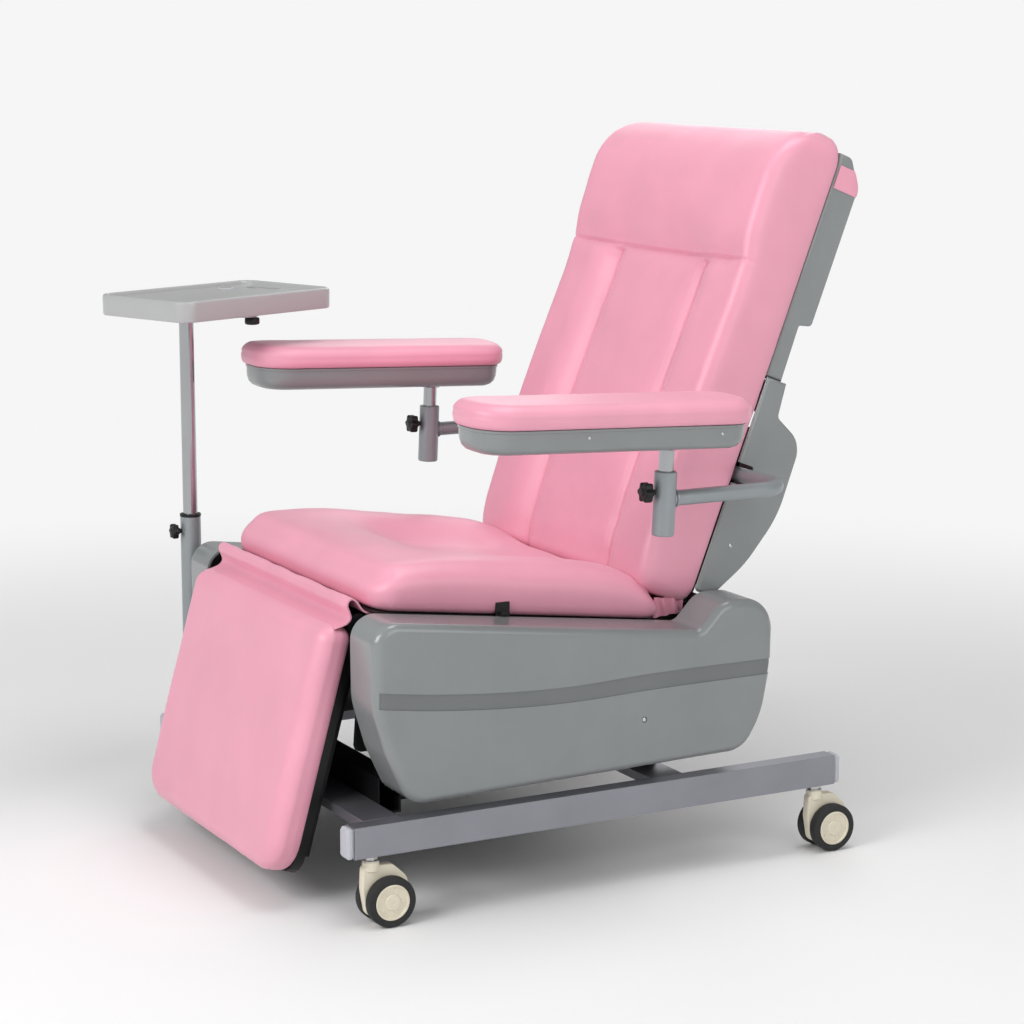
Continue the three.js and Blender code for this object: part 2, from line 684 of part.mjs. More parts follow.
const leg = frame('leg_group', 0, LEG.y, LEG.z, -LEG.tilt);
add('leg_frame', legFrame(), 'black', leg);
add('leg_board', prismY(roundedRect(-262, 262, -410, -24, 40, 4), -12, 4), 'plastic', leg);
add('leg_cushion', legCushion(), 'vinyl', leg);

const back = frame('back_group', 0, BACK.y, BACK.z, -BACK.tilt);
add('back_frame', backFrame(), 'black', back);
add('back_cushion', backCushion(), 'vinyl', back);
add('back_shell_upper', upperShell(), 'abs', back);
add('back_shell_lower', lowerShell(), 'abs', back);
add('head_strap', headStrap(), 'vinyl', back);

const yokeAxis = {
  y: BACK.y + YOKE.s * sin(BACK.tilt) - YOKE.t * cos(BACK.tilt),
  z: BACK.z + YOKE.s * cos(BACK.tilt) + YOKE.t * sin(BACK.tilt),
};
add('arm_yoke', armYoke(yokeAxis), 'grey');
add('level_link', levelLink(yokeAxis), 'steel');
for (const side of [1, -1]) {
  const name = side > 0 ? 'left' : 'right';
  const arm = frame(`arm_group_${name}`, side * ARM.x, ARM.y, ARM.z, -ARM.tilt);
  add(`arm_post_${name}`, rodZ(ARM.post, -26, 111, 0, 0, 20), 'chrome', arm);
  add(`arm_tray_${name}`, armTray(), 'abs', arm);
  add(`arm_pad_${name}`, prismZ(padOutline(0), 124 + GAP, 164, 12, 2), 'vinyl', arm);
  add(`arm_knob_${name}`, knobY(-42, 6, 17, 0, 11, -18.3), 'plastic', arm);
}

add('tray_pole_outer', poleOuter(), 'grey');
add('tray_pole_inner', cut(
  rodZ(POLE.inner, 262, 885, POLE.x, POLE.y, 20),
  rodZ(POLE.inner - 2, 250, 870, POLE.x, POLE.y),
), 'chrome');
add('pole_knob', knobY(POLE.y - 41, 6, 14, POLE.x, 484, POLE.y - 15.4), 'plastic');
const trayGroup = frame('tray_group', POLE.x, POLE.y, 0, 0, TRAY.yaw);
add('tray_bracket', trayBracket(), 'grey', trayGroup);
add('tray', tray(), 'abs', trayGroup);
add('tray_knob', join(rodZ(13, 858, 872, 98, 66), rodZ(4, 870, 886, 98, 66, 12)), 'plastic', trayGroup);

// the origin is the middle of the whole chair's footprint, on the floor
chair.updateMatrixWorld(true);
const bounds = new THREE.Box3().setFromObject(chair, true);
chair.position.set(
  -(bounds.min.x + bounds.max.x) / 2,
  -(bounds.min.y + bounds.max.y) / 2,
  -bounds.min.z,
);

export default chair;
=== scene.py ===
import json
import math

import bmesh
import bpy
import numpy as np
from mathutils import Matrix, Vector, noise


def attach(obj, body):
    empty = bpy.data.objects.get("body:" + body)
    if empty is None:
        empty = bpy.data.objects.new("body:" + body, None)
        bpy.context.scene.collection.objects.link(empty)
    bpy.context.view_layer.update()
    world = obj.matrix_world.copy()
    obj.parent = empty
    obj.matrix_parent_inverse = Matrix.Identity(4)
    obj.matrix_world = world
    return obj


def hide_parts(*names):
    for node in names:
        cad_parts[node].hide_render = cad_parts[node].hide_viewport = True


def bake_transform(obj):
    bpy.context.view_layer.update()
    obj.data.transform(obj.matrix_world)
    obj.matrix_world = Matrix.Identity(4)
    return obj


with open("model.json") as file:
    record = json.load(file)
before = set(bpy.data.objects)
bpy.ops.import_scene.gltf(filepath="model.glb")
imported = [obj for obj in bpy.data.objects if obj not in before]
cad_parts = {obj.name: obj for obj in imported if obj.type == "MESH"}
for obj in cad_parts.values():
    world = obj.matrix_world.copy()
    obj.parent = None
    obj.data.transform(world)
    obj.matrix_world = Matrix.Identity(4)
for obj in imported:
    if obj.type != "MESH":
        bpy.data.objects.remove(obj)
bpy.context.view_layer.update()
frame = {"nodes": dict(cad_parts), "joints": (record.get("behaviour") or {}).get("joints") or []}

# ---- the frame's own places; tilts in degrees ----
MM = 0.001
JOINT = {joint["name"]: joint for joint in frame["joints"]}
SIDES = {"left": 1, "right": -1}
OUTWARD = {"left": "X", "right": "-X"}
CORNERS = ("front_left", "front_right", "rear_left", "rear_right")
BACK_TILT, LEG_TILT, SEAT_TILT, ARM_TILT, TRAY_YAW = 21.5, 15.5, 7.4, 2.5, 20.7


def pivot(joint):
    return Vector(JOINT[joint]["pos_m"])


def tilted(origin, degrees):
    return Matrix.Translation(origin) @ Matrix.Rotation(math.radians(-degrees), 4, "X")


BACK_PIVOT = pivot("back_recline")
BACK_PIVOT_Y = 0.672
CHAIR = Matrix.Translation((BACK_PIVOT.x, BACK_PIVOT.y - BACK_PIVOT_Y, 0))
SEAT = CHAIR @ tilted((0, 0.085, 0.470), SEAT_TILT)
BACK = tilted(BACK_PIVOT, BACK_TILT)
LEG = tilted(pivot("leg_lift"), LEG_TILT)
ARM = {side: tilted(pivot(f"arm_swivel_{side}"), ARM_TILT) for side in SIDES}
POLE = pivot("tray_swivel")
TRAY = Matrix.Translation((POLE.x, POLE.y, 0)) @ Matrix.Rotation(math.radians(TRAY_YAW), 4, "Z")


# ---- materials ----
def material(name, color, rough, metal=0.0, vary=0.12, grain=900.0, bump=0.08, coat=0.0, sheen=0.0,
             rough_vary=0.08, leather=False, specular=0.5):
    """Two tones mixed by a broad noise, with a fine grain in bump."""
    mat = bpy.data.materials.new(name)
    mat.use_nodes = True
    nodes, links = mat.node_tree.nodes, mat.node_tree.links
    shader = nodes["Principled BSDF"]
    shader.inputs["Metallic"].default_value = metal
    shader.inputs["Coat Weight"].default_value = coat
    shader.inputs["Coat Roughness"].default_value = 0.12
    shader.inputs["Sheen Weight"].default_value = sheen
    shader.inputs["Sheen Roughness"].default_value = 0.4
    shader.inputs["Specular IOR Level"].default_value = specular
    where = nodes.new("ShaderNodeTexCoord")

    broad = nodes.new("ShaderNodeTexNoise")
    broad.inputs["Scale"].default_value = 9.0
    broad.inputs["Detail"].default_value = 4.0
    links.new(where.outputs["Object"], broad.inputs["Vector"])
    tones = nodes.new("ShaderNodeValToRGB")
    dark, light = tones.color_ramp.elements
    dark.position, light.position = 0.3, 0.7
    dark.color = tuple(c * (1 - vary) for c in color) + (1,)
    light.color = tuple(min(1, c * (1 + vary)) for c in color) + (1,)
    links.new(broad.outputs["Fac"], tones.inputs["Fac"])
    links.new(tones.outputs["Color"], shader.inputs["Base Color"])

    spread = nodes.new("ShaderNodeMapRange")
    spread.inputs["To Min"].default_value = max(0.02, rough - rough_vary)
    spread.inputs["To Max"].default_value = min(1.0, rough + rough_vary)
    links.new(broad.outputs["Fac"], spread.inputs["Value"])
    links.new(spread.outputs["Result"], shader.inputs["Roughness"])

    fine = nodes.new("ShaderNodeTexVoronoi" if leather else "ShaderNodeTexNoise")
    fine.inputs["Scale"].default_value = grain
    links.new(where.outputs["Object"], fine.inputs["Vector"])
    relief = nodes.new("ShaderNodeBump")
    relief.inputs["Strength"].default_value = bump
    relief.inputs["Distance"].default_value = 0.0006
    links.new(fine.outputs["Distance" if leather else "Fac"], relief.inputs["Height"])
    links.new(relief.outputs["Normal"], shader.inputs["Normal"])
    return mat


# each finish is a material and the material slot that it fills
FINISH = {
    "vinyl": (material("vinyl", (0.80, 0.345, 0.455), 0.38, vary=0.035, grain=1100, bump=0.16,
                       sheen=0.12, leather=True, rough_vary=0.06), "pink_vinyl"),
    "abs": (material("abs", (0.235, 0.25, 0.252), 0.24, vary=0.04, grain=1500, bump=0.03,
                     coat=0.35, rough_vary=0.05), "grey_cover"),
    "stripe": (material("stripe", (0.165, 0.175, 0.178), 0.36, vary=0.05, grain=1500, bump=0.05),
               "grey_cover"),
    "rail": (material("rail", (0.29, 0.29, 0.325), 0.4, metal=0.75, vary=0.07, grain=2600,
                      bump=0.12), "rail_paint"),
    "cap": (material("cap", (0.47, 0.48, 0.52), 0.45, vary=0.05, grain=1500, bump=0.06),
            "rail_cap"),
    "black": (material("black", (0.007, 0.007, 0.008), 0.46, vary=0.25, grain=900, bump=0.12,
                       specular=0.3), "black_frame"),
    "tube": (material("tube", (0.30, 0.325, 0.34), 0.36, metal=0.35, vary=0.06, grain=2200,
                      bump=0.08), "grey_tube"),
    "tray": (material("tray", (0.40, 0.405, 0.405), 0.3, vary=0.03, grain=1500, bump=0.04,
                      coat=0.25, rough_vary=0.05), "grey_cover"),
    "chrome": (material("chrome", (0.42, 0.43, 0.44), 0.16, metal=1.0, vary=0.05, grain=500,
                        bump=0.02, rough_vary=0.05), "chrome_tube"),
    "plastic": (material("plastic", (0.007, 0.007, 0.008), 0.42, vary=0.25, grain=1400,
                         bump=0.1, specular=0.35), "black_plastic"),
    "ivory": (material("ivory", (0.76, 0.70, 0.56), 0.34, vary=0.06, grain=900, bump=0.06),
              "ivory_plastic"),
    "tyre": (material("tyre", (0.016, 0.016, 0.017), 0.68, vary=0.3, grain=700, bump=0.25),
             "wheel_tyre"),
    "steel": (material("steel", (0.55, 0.55, 0.54), 0.3, metal=1.0, vary=0.1, grain=1200,
                       bump=0.1), "steel"),
}


# ---- mesh helpers; sizes in mm in a local frame, and a part is its points and its faces ----
SHARP, SOFT_SHARP = 35.0, 60.0


def cover_with(obj, mat):
    obj.data.materials.clear()
    obj.data.materials.append(mat)
    obj.data.polygons.foreach_set("use_smooth", [True] * len(obj.data.polygons))


def dress(obj, finish, angle=SHARP):
    mat, slot = FINISH[finish]
    cover_with(obj, mat)
    obj.data.set_sharp_from_angle(angle=math.radians(angle))


def make(name, verts, faces, place, finish, body, replaces=(), angle=SHARP):
    """A mesh piece in metres; it rides on a body unless body is None."""
    mesh = bpy.data.meshes.new(name)
    mesh.from_pydata([place @ (Vector(v) * MM) for v in verts], [], faces)
    bm = bmesh.new()
    bm.from_mesh(mesh)
    bmesh.ops.remove_doubles(bm, verts=bm.verts, dist=1e-6)
    bmesh.ops.recalc_face_normals(bm, faces=bm.faces)
    bm.to_mesh(mesh)
    bm.free()
    obj = bpy.data.objects.new(name, mesh)
    bpy.context.scene.collection.objects.link(obj)
    dress(obj, finish, angle)
    if body:
        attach(obj, body)
    if replaces:
        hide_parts(*replaces)
    return obj


def loft(rings, loop=False):
    """Joins rings of points in turn; the ends are capped, or joined to each other in a loop."""
    n = len(rings[0])
    verts = [p for ring in rings for p in ring]
    faces = []
    for a in range(len(rings) - (0 if loop else 1)):
        b = (a + 1) % len(rings)
        for i in range(n):
            j = (i + 1) % n
            faces.append((a * n + i, a * n + j, b * n + j, b * n + i))
    if not loop:
        faces.append(tuple(reversed(range(n))))
        faces.append(tuple(range((len(rings) - 1) * n, len(rings) * n)))
    return verts, faces


def arcs(corners, steps=10):
    """Corners (u, v, radius) become points, each corner an arc."""
    out = []
    for i, (u, v, r) in enumerate(corners):
        here = Vector((u, v))
        if not r:
            out.append(here)
            continue
        a = (Vector(corners[i - 1][:2]) - here).normalized()
        b = (Vector(corners[(i + 1) % len(corners)][:2]) - here).normalized()
        half = math.acos(max(-1.0, min(1.0, a.dot(b)))) / 2
        centre = here + (a + b).normalized() * (r / math.sin(half))
        start = here + a * (r / math.tan(half)) - centre
        end = here + b * (r / math.tan(half)) - centre
        turn = math.atan2(start.x * end.y - start.y * end.x, start.dot(end))
        for k in range(steps + 1):
            c, s = math.cos(turn * k / steps), math.sin(turn * k / steps)
            out.append(centre + Vector((start.x * c - start.y * s, start.x * s + start.y * c)))
    return out


def area(points):
    return sum(p.x * q.y - q.x * p.y for p, q in zip(points, points[1:] + points[:1])) / 2


TINY, LEAST_MITRE = 1e-9, 0.35


def inset(points, d):
    """The outline moved inwards by d; a mitre grows at most to 1 / LEAST_MITRE."""
    if abs(d) < TINY:
        return list(points)
    sign = 1 if area(points) > 0 else -1
    out = []
    for i, p in enumerate(points):
        before, after = p - points[i - 1], points[(i + 1) % len(points)] - p
        before = before.normalized() if before.length > TINY else after.normalized()
        after = after.normalized() if after.length > TINY else before
        n0 = Vector((-before.y, before.x)) * sign
        n1 = Vector((-after.y, after.x)) * sign
        out.append(p + (n0 + n1) / max(LEAST_MITRE, 1 + n0.dot(n1)) * d)
    return out


# an outline's (u, v) and the place w along an axis become a point
AXES = {
    "X": lambda u, v, w: (w, u, v),
    "-X": lambda u, v, w: (-w, u, v),
    "Y": lambda u, v, w: (u, w, v),
    "Z": lambda u, v, w: (u, v, w),
}


def prism(points, axis, a, b, low=0.0, high=0.0, steps=6):
    """An outline run along an axis, with rounded edges of radius low and high at its ends."""
    put = AXES[axis]
    levels = []
    if low:
        for k in range(steps + 1):
            t = math.pi / 2 * k / steps
            levels.append((a + low * (1 - math.cos(t)), low * (1 - math.sin(t))))
    else:
        levels.append((a, 0))
    if high:
        for k in range(steps + 1):
            t = math.pi / 2 * k / steps
            levels.append((b - high * (1 - math.sin(t)), high * (1 - math.cos(t))))
    else:
        levels.append((b, 0))
    return loft([[put(p.x, p.y, w) for p in inset(points, d)] for w, d in levels])


def rect(u0, u1, v0, v1, r, steps=8):
    return arcs([(u0, v0, r), (u1, v0, r), (u1, v1, r), (u0, v1, r)], steps)


def circle(r, sides=40, u=0.0, v=0.0):
    return [Vector((u + r * math.cos(2 * math.pi * i / sides),
                    v + r * math.sin(2 * math.pi * i / sides))) for i in range(sides)]


def lathe(profile, sides=40, axis="Z", loop=False):
    """profile is (radius, height) pairs; a radius of 0 closes on the axis."""
    put = AXES[axis]
    return loft([[put(p.x, p.y, h) for p in circle(max(r, 1e-4), sides)] for r, h in profile], loop)


def plus(*parts):
    verts, faces = [], []
    for v, f in parts:
        base = len(verts)
        verts += list(v)
        faces += [tuple(i + base for i in face) for face in f]
    return verts, faces


def mapped(part, put):
    return [put(*p) for p in part[0]], part[1]


def moved(part, dx=0.0, dy=0.0, dz=0.0):
    return mapped(part, lambda x, y, z: (x + dx, y + dy, z + dz))


def on_side(side, part):
    return mapped(part, lambda x, y, z: (SIDES[side] * x, y, z))


def cut_by(obj, tool, operation):
    """Combines obj's mesh with the tool's, and removes the tool."""
    mod = obj.modifiers.new("cut", "BOOLEAN")
    mod.operation, mod.solver, mod.object = operation, "EXACT", tool
    bpy.context.view_layer.update()
    result = bpy.data.meshes.new_from_object(
        obj.evaluated_get(bpy.context.evaluated_depsgraph_get()))
    obj.modifiers.clear()
    obj.data = result
    bpy.data.objects.remove(tool)


def carve(obj, place, *cutters):
    """Cuts closed solids, given in the same local frame, out of obj's mesh."""
    for i, (verts, faces) in enumerate(cutters):
        cut_by(obj, make(f"cutter_{i}", verts, faces, place, "abs", None), "DIFFERENCE")
    cover_with(obj, obj.data.materials[0])
    obj.data.set_sharp_from_angle(angle=math.radians(SHARP))


def screw(name, place, at, axis, body, r):
    """A pan-head screw, its head along +w of the axis."""
    head = lathe([(r * 0.3, -1.0), (r, -1.0), (r, 0.3), (r * 0.8, 1.3), (r * 0.4, 1.8), (0, 1.9)],
                 24, axis)
    make(name, *moved(head, *at), place, "steel", body)


# ---- padded pieces ----
SEAM_LINES = (-14, -9, -6, -4, -2.2, -0.9, 0, 0.9, 2.2, 4, 6, 9, 14)
EDGE_LINES, LEAST_GAP = 6, 0.8
SWELL_REACH = 14
WELT_DEPTH, WELT_WIDTH, WELT_REACH = 1.6, 1.8, 10
RIPPLE_FROM, RIPPLE_FINE = 2, 0.35
LEAST_W = 1


def smooth(t):
    t = np.clip(t, 0, 1)
    return t * t * (3 - 2 * t)


def groove(distance, depth, width):
    """A soft dip, or a ridge where it is added."""
    return depth * np.exp(-((distance / width) ** 2))


def curve(xs, ys):
    """A smooth curve through knots, as a function of an array."""
    xs, ys = np.array(xs, float), np.array(ys, float)
    slope = np.gradient(ys, xs)

    def at(x):
        x = np.clip(x, xs[0], xs[-1])
        i = np.clip(np.searchsorted(xs, x) - 1, 0, len(xs) - 2)
        d = xs[i + 1] - xs[i]
        t = (x - xs[i]) / d
        return ((2 * t**3 - 3 * t**2 + 1) * ys[i] + (t**3 - 2 * t**2 + t) * d * slope[i]
                + (-2 * t**3 + 3 * t**2) * ys[i + 1] + (t**3 - t**2) * d * slope[i + 1])
    return at


def spaced(lo, hi, step, rounding, seams=()):
    """Grid lines from lo to hi, closer together in the rounded edges and beside seams."""
    marks = set(np.round(np.linspace(lo, hi, max(2, int((hi - lo) / step)) + 1), 3))
    for k in range(1, EDGE_LINES + 1):
        marks.add(round(lo + rounding * k / EDGE_LINES, 3))
        marks.add(round(hi - rounding * k / EDGE_LINES, 3))
    for seam in seams:
        marks.update(round(seam + d, 3) for d in SEAM_LINES)
    marks = sorted(m for m in marks if lo <= m <= hi)
    kept = [marks[0]]
    for m in marks[1:-1]:
        if m - kept[-1] > LEAST_GAP and marks[-1] - m > LEAST_GAP:
            kept.append(m)
    return np.array(kept + [marks[-1]])


def grid_skin(us, vs, ws):
    """The six sides of a box grid, as an array of points and their faces."""
    last_u, last_v, last_w = len(us) - 1, len(vs) - 1, len(ws) - 1
    index, points, faces = {}, [], []

    def at(i, j, k):
        if (i, j, k) not in index:
            index[(i, j, k)] = len(points)
            points.append((us[i], vs[j], ws[k]))
        return index[(i, j, k)]

    for k in (0, last_w):
        for i in range(last_u):
            for j in range(last_v):
                faces.append((at(i, j, k), at(i + 1, j, k), at(i + 1, j + 1, k), at(i, j + 1, k)))
    for i in (0, last_u):
        for j in range(last_v):
            for k in range(last_w):
                faces.append((at(i, j, k), at(i, j + 1, k), at(i, j + 1, k + 1), at(i, j, k + 1)))
    for j in (0, last_v):
        for i in range(last_u):
            for k in range(last_w):
                faces.append((at(i, j, k), at(i + 1, j, k), at(i + 1, j, k + 1), at(i, j, k + 1)))
    return np.array(points, float), faces


def round_corners(u, v, half, v0, v1, corner):
    """Bends a rectangle's corners to arcs; also gives how far in each point is, and its way out."""
    radius = np.where(v < (v0 + v1) / 2, corner[0], corner[1])
    centre_u = np.clip(u, -half + radius, half - radius)
    centre_v = np.clip(v, v0 + radius, v1 - radius)
    du, dv = u - centre_u, v - centre_v
    in_corner = (np.abs(du) > 1e-6) & (np.abs(dv) > 1e-6)
    reach = np.maximum(np.abs(du), np.abs(dv))
    shrink = np.where(in_corner, reach / np.maximum(np.hypot(du, dv), TINY), 1.0)
    u, v = centre_u + du * shrink, centre_v + dv * shrink
    du, dv = u - centre_u, v - centre_v
    length = np.hypot(du, dv)
    side_u, side_v = half - np.abs(u), np.minimum(v - v0, v1 - v)
    away = np.where(in_corner, radius - length, np.minimum(side_u, side_v))
    nearest_u = side_u <= side_v
    out_u = np.where(in_corner, du / np.maximum(length, TINY), np.where(nearest_u, np.sign(u), 0))
    out_v = np.where(in_corner, dv / np.maximum(length, TINY),
                     np.where(nearest_u, 0, np.sign(v - (v0 + v1) / 2)))
    return u, v, away, out_u, out_v


def round_edges(away, w, height, top_edge, base_edge):
    """Rolls a pad's square section over at its top and base edges."""
    new_away, new_w = away.copy(), w.copy()
    for r, depth, is_top in ((top_edge, height - w, True), (base_edge, w, False)):
        x, y = r - away, r - depth
        zone = (x > 0) & (y > 0)
        fit = np.where(zone, np.maximum(x, y) / np.maximum(np.hypot(x, y), TINY), 1)
        new_away = np.where(zone, r - x * fit, new_away)
        d = np.where(zone, r - y * fit, depth)
        new_w = np.where(zone, height - d if is_top else d, new_w)
    return new_away, new_w


def ripple(u, v, w, seed, wrinkle):
    """Slight unevenness of a filled cover, as a broad and a finer noise."""
    broad = noise.noise(Vector((u / 55 + seed, v / 55, w / 40))) * wrinkle
    fine = noise.noise(Vector((u / 19 + seed, v / 23, w / 19))) * wrinkle * RIPPLE_FINE
    return broad + fine


def slab(half, v0, v1, top, corner, edge, base_edge, seams_u=(), seams_v=(), step=11, bulge=3.0,
         welt=None, wrinkle=0.7, seed=0.0):
    """A crowned pad on the plane w=0: half its width in u, from v0 to v1, top(u, v) its height.
    corner is the plan radius at v0 and at v1, and welt the depth of the side seam below the top."""
    levels = np.concatenate([np.linspace(0, 0.25, 3), np.linspace(0.35, 1, 8)])
    grid, faces = grid_skin(spaced(-half, half, step, edge, seams_u),
                            spaced(v0, v1, step, edge, seams_v), levels)
    u, v, away, out_u, out_v = round_corners(grid[:, 0], grid[:, 1], half, v0, v1, corner)
    height = top(u, v)
    new_away, w = round_edges(away, grid[:, 2] * height, height, edge, base_edge)
    swell = bulge * np.sin(np.pi * np.clip(w / np.maximum(height, LEAST_W), 0, 1)) \
        * np.exp(-((new_away / SWELL_REACH) ** 2))
    if welt is not None:
        swell = swell - groove(height - w - welt, WELT_DEPTH, WELT_WIDTH) \
            * np.exp(-((new_away / WELT_REACH) ** 2))
    push = away - new_away + swell
    points = zip(u + out_u * push, v + out_v * push, w)
    return [(a, b, c + (ripple(a, b, c, seed, wrinkle) if c > RIPPLE_FROM else 0))
            for a, b, c in points], faces


def pad(name, part, place, body, replaces):
    obj = make(name, *part, place, "vinyl", body, replaces, angle=SOFT_SHARP)


# seat cushion: a full-width front roll, soft side bolsters and a dish for the sitter
SEAT_HALF, SEAT_LONG, SEAT_LIFT = 288, 530, 0.4
SEAT_BOLSTER, BOLSTER_AT, BOLSTER_WIDE, BOLSTER_FROM = 7, 220, 55, 60
SEAT_DISH, DISH_FROM, DISH_HALF, DISH_END, DISH_SLOPE = 27, 118, 205, 380, 120
SEAT_PULL, PULL_REACH = 7, 60
SEAT_CROWN = curve([0, 18, 45, 90, 150, 260, 400, 445, 480, 505, 530],
                   [55, 64, 72, 78, 80, 77, 75, 71, 62, 51, 36])


def seat_top(u, v):
    x = np.abs(u)
    side = groove(x - BOLSTER_AT, SEAT_BOLSTER, BOLSTER_WIDE) * smooth((v - BOLSTER_FROM) / 120)
    dish = SEAT_DISH * smooth((v - DISH_FROM) / DISH_SLOPE) * smooth((DISH_HALF - x) / DISH_SLOPE)
    dish = dish * (1 - 0.8 * smooth((v - DISH_END) / 100))
    return SEAT_CROWN(v) + side - dish


def seat_pad():
    """The front edge is pulled back a little, as the cover is drawn under it."""
    part = slab(SEAT_HALF, 0, SEAT_LONG, seat_top, (44, 36), 34, 12, bulge=5, wrinkle=0.9)
    part = mapped(part, lambda u, v, w: (
        u, v + SEAT_PULL * float(smooth((PULL_REACH - v) / PULL_REACH)), w + SEAT_LIFT))
    pad("seat_pad", part, SEAT, "base", ["seat_cushion"])


# back cushion: headrest roll, two side bolsters and a centre panel parted by sewn channels
BACK_HALF, BACK_LOW, BACK_TOP, BACK_BASE = 291, 24, 838, 19.6
HEAD_SEAM, PANEL_SEAM, HEAD_ROLL, HEAD_ROUND, HEAD_EDGE = 591, 140, 728, 112, 26
BACK_BOLSTER, BOLSTER_RISE, PANEL_CROWN, SEAM_BLEND = 15, 62, 4, 14
CHANNEL, CHANNEL_LINE, HEAD_CHANNEL, HEAD_LINE = (9, 17), (5, 2.8), (8, 17), (4, 2.8)
PUCKER, PUCKER_PITCH, PUCKER_REACH = 0.5, 2.6, 9
WAIST, WAIST_TOP = 4, 90
BACK_CROWN = curve([24, 100, 200, 330, 470, 560, 600, 645, 690, 728],
                   [94, 99, 103, 103, 100, 99, 103, 115, 122, 122])


def back_top(u, v):
    x = np.abs(u)
    below = smooth((HEAD_SEAM - v) / SEAM_BLEND)
    above = smooth((v - HEAD_SEAM + SEAM_BLEND) / SEAM_BLEND)
    middle = smooth((292 - x) / 60)
    bolster = BACK_BOLSTER * smooth((x - PANEL_SEAM) / BOLSTER_RISE) * below
    panel = PANEL_CROWN * np.cos(np.clip(x / PANEL_SEAM, 0, 1) * math.pi / 2) * below
    channel = (groove(x - PANEL_SEAM, *CHANNEL) + groove(x - PANEL_SEAM, *CHANNEL_LINE)) * below
    head = groove(v - HEAD_SEAM, *HEAD_CHANNEL) * middle \
        + groove(v - HEAD_SEAM, *HEAD_LINE) * (0.45 + 0.55 * middle)
    pucker = np.cos(v / PUCKER_PITCH) * groove(x - PANEL_SEAM, PUCKER, PUCKER_REACH) * below
    pucker = pucker + np.cos(u / PUCKER_PITCH) * groove(v - HEAD_SEAM, PUCKER, PUCKER_REACH)
    roll = smooth((x - 90) / 130) * above * (5 + 9 * smooth((690 - v) / 90))
    waist = WAIST * smooth((WAIST_TOP - v) / 50)
    full = BACK_CROWN(v) + bolster + panel - channel - head + pucker + roll - waist
    over = np.sqrt(np.clip(1 - np.clip((v - HEAD_ROLL) / HEAD_ROUND, 0, 1) ** 2, 0, 1))
    return HEAD_EDGE + (full - HEAD_EDGE) * over


def back_pad():
    part = slab(BACK_HALF, BACK_LOW, BACK_TOP, back_top, (36, 52), 21, 8,
                seams_u=(-PANEL_SEAM, PANEL_SEAM), seams_v=(HEAD_SEAM,), bulge=2, wrinkle=1.1,
                seed=7.0)
    part = mapped(part, lambda u, v, w: (u, -(w + BACK_BASE), v))
    pad("back_pad", part, BACK, "backrest", ["back_cushion"])


# leg-rest cushion: one plain crowned pad
LEG_HALF, LEG_HIGH, LEG_LOW, LEG_BASE = 270, 10, 409, 12.4
LEG_THICK, LEG_CROWN = 52, 6


def leg_top(u, v):
    across = np.cos(np.clip(np.abs(u) / LEG_HALF, 0, 1) * math.pi / 2)
    down = np.sin(np.clip((v - LEG_HIGH) / (LEG_LOW - LEG_HIGH), 0, 1) * math.pi)
    return LEG_THICK + LEG_CROWN * across * down


def leg_pad():
    part = slab(LEG_HALF, LEG_HIGH, LEG_LOW, leg_top, (26, 56), 27, 6, bulge=2.5, welt=30,
                wrinkle=0.8, seed=13.0)
    part = mapped(part, lambda u, v, w: (u, -(w + LEG_BASE), -v))
    pad("leg_pad", part, LEG, "leg_rest", ["leg_cushion"])


# arm pads
ARM_HALF, ARM_FRONT, ARM_REAR, ARM_BASE = 74, -365, 125, 124.4
ARM_THICK, ARM_CROWN = 36.5, 4.0


def arm_top(u, v):
    across = np.cos(np.clip(np.abs(u) / ARM_HALF, 0, 1) * math.pi / 2)
    return ARM_THICK + ARM_CROWN * across


def arm_pad(side):
    part = slab(ARM_HALF, ARM_FRONT, ARM_REAR, arm_top, (62, 46), 18, 8, step=9, bulge=2.5,
                welt=19, wrinkle=0.5, seed=21.0)
    pad(f"arm_cushion_{side}", moved(part, dz=ARM_BASE), ARM[side], f"armrest_{side}",
        [f"arm_pad_{side}"])


# ---- thin vinyl pieces that cross a joint ----
def web(path, half, thick, wave, count):
    """A thin web across the chair that follows path in (y, z), with loose waves; it thins
    towards the path's end."""
    rings = []
    last = len(path) - 1
    for x in np.linspace(-half, half, count):
        front, back = [], []
        for i, p in enumerate(path):
            along = (path[min(i + 1, last)] - path[max(i - 1, 0)]).normalized()
            out = Vector((-along.y, along.x))
            t = i / last
            drift = noise.noise(Vector((x / 70, t * 3, 0))) \
                + 0.5 * noise.noise(Vector((x / 26, t * 5, 4)))
            q = p + out * (wave * math.sin(math.pi * min(1, t * 1.4)) * drift)
            depth = thick / 2 * (1 if t < 0.7 else 1 - 0.8 * (t - 0.7) / 0.3)
            front.append((x, *(q + out * depth)))
            back.append((x, *(q - out * depth)))
        rings.append(front + back[::-1])
    return loft(rings)


def spline(knots, count):
    """Points on a smooth curve through all the knots."""
    out = []
    for i in range(count):
        t = i / (count - 1) * (len(knots) - 1)
        k = min(int(t), len(knots) - 2)
        f = t - k
        p = [Vector(knots[max(0, min(len(knots) - 1, k + d))]) for d in (-1, 0, 1, 2)]
        out.append(0.5 * ((2 * p[1]) + (p[2] - p[0]) * f
                          + (2 * p[0] - 5 * p[1] + 4 * p[2] - p[3]) * f * f
                          + (3 * p[1] - p[0] - 3 * p[2] + p[3]) * f**3))
    return out


def stretch(name, part, replaces):
    """A vinyl piece in the chair's frame, tied to no body; the CAD pieces that it replaces are
    hidden.
    """
    obj = make(name, *part, CHAIR, "vinyl", None, replaces, angle=SOFT_SHARP)
    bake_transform(obj)


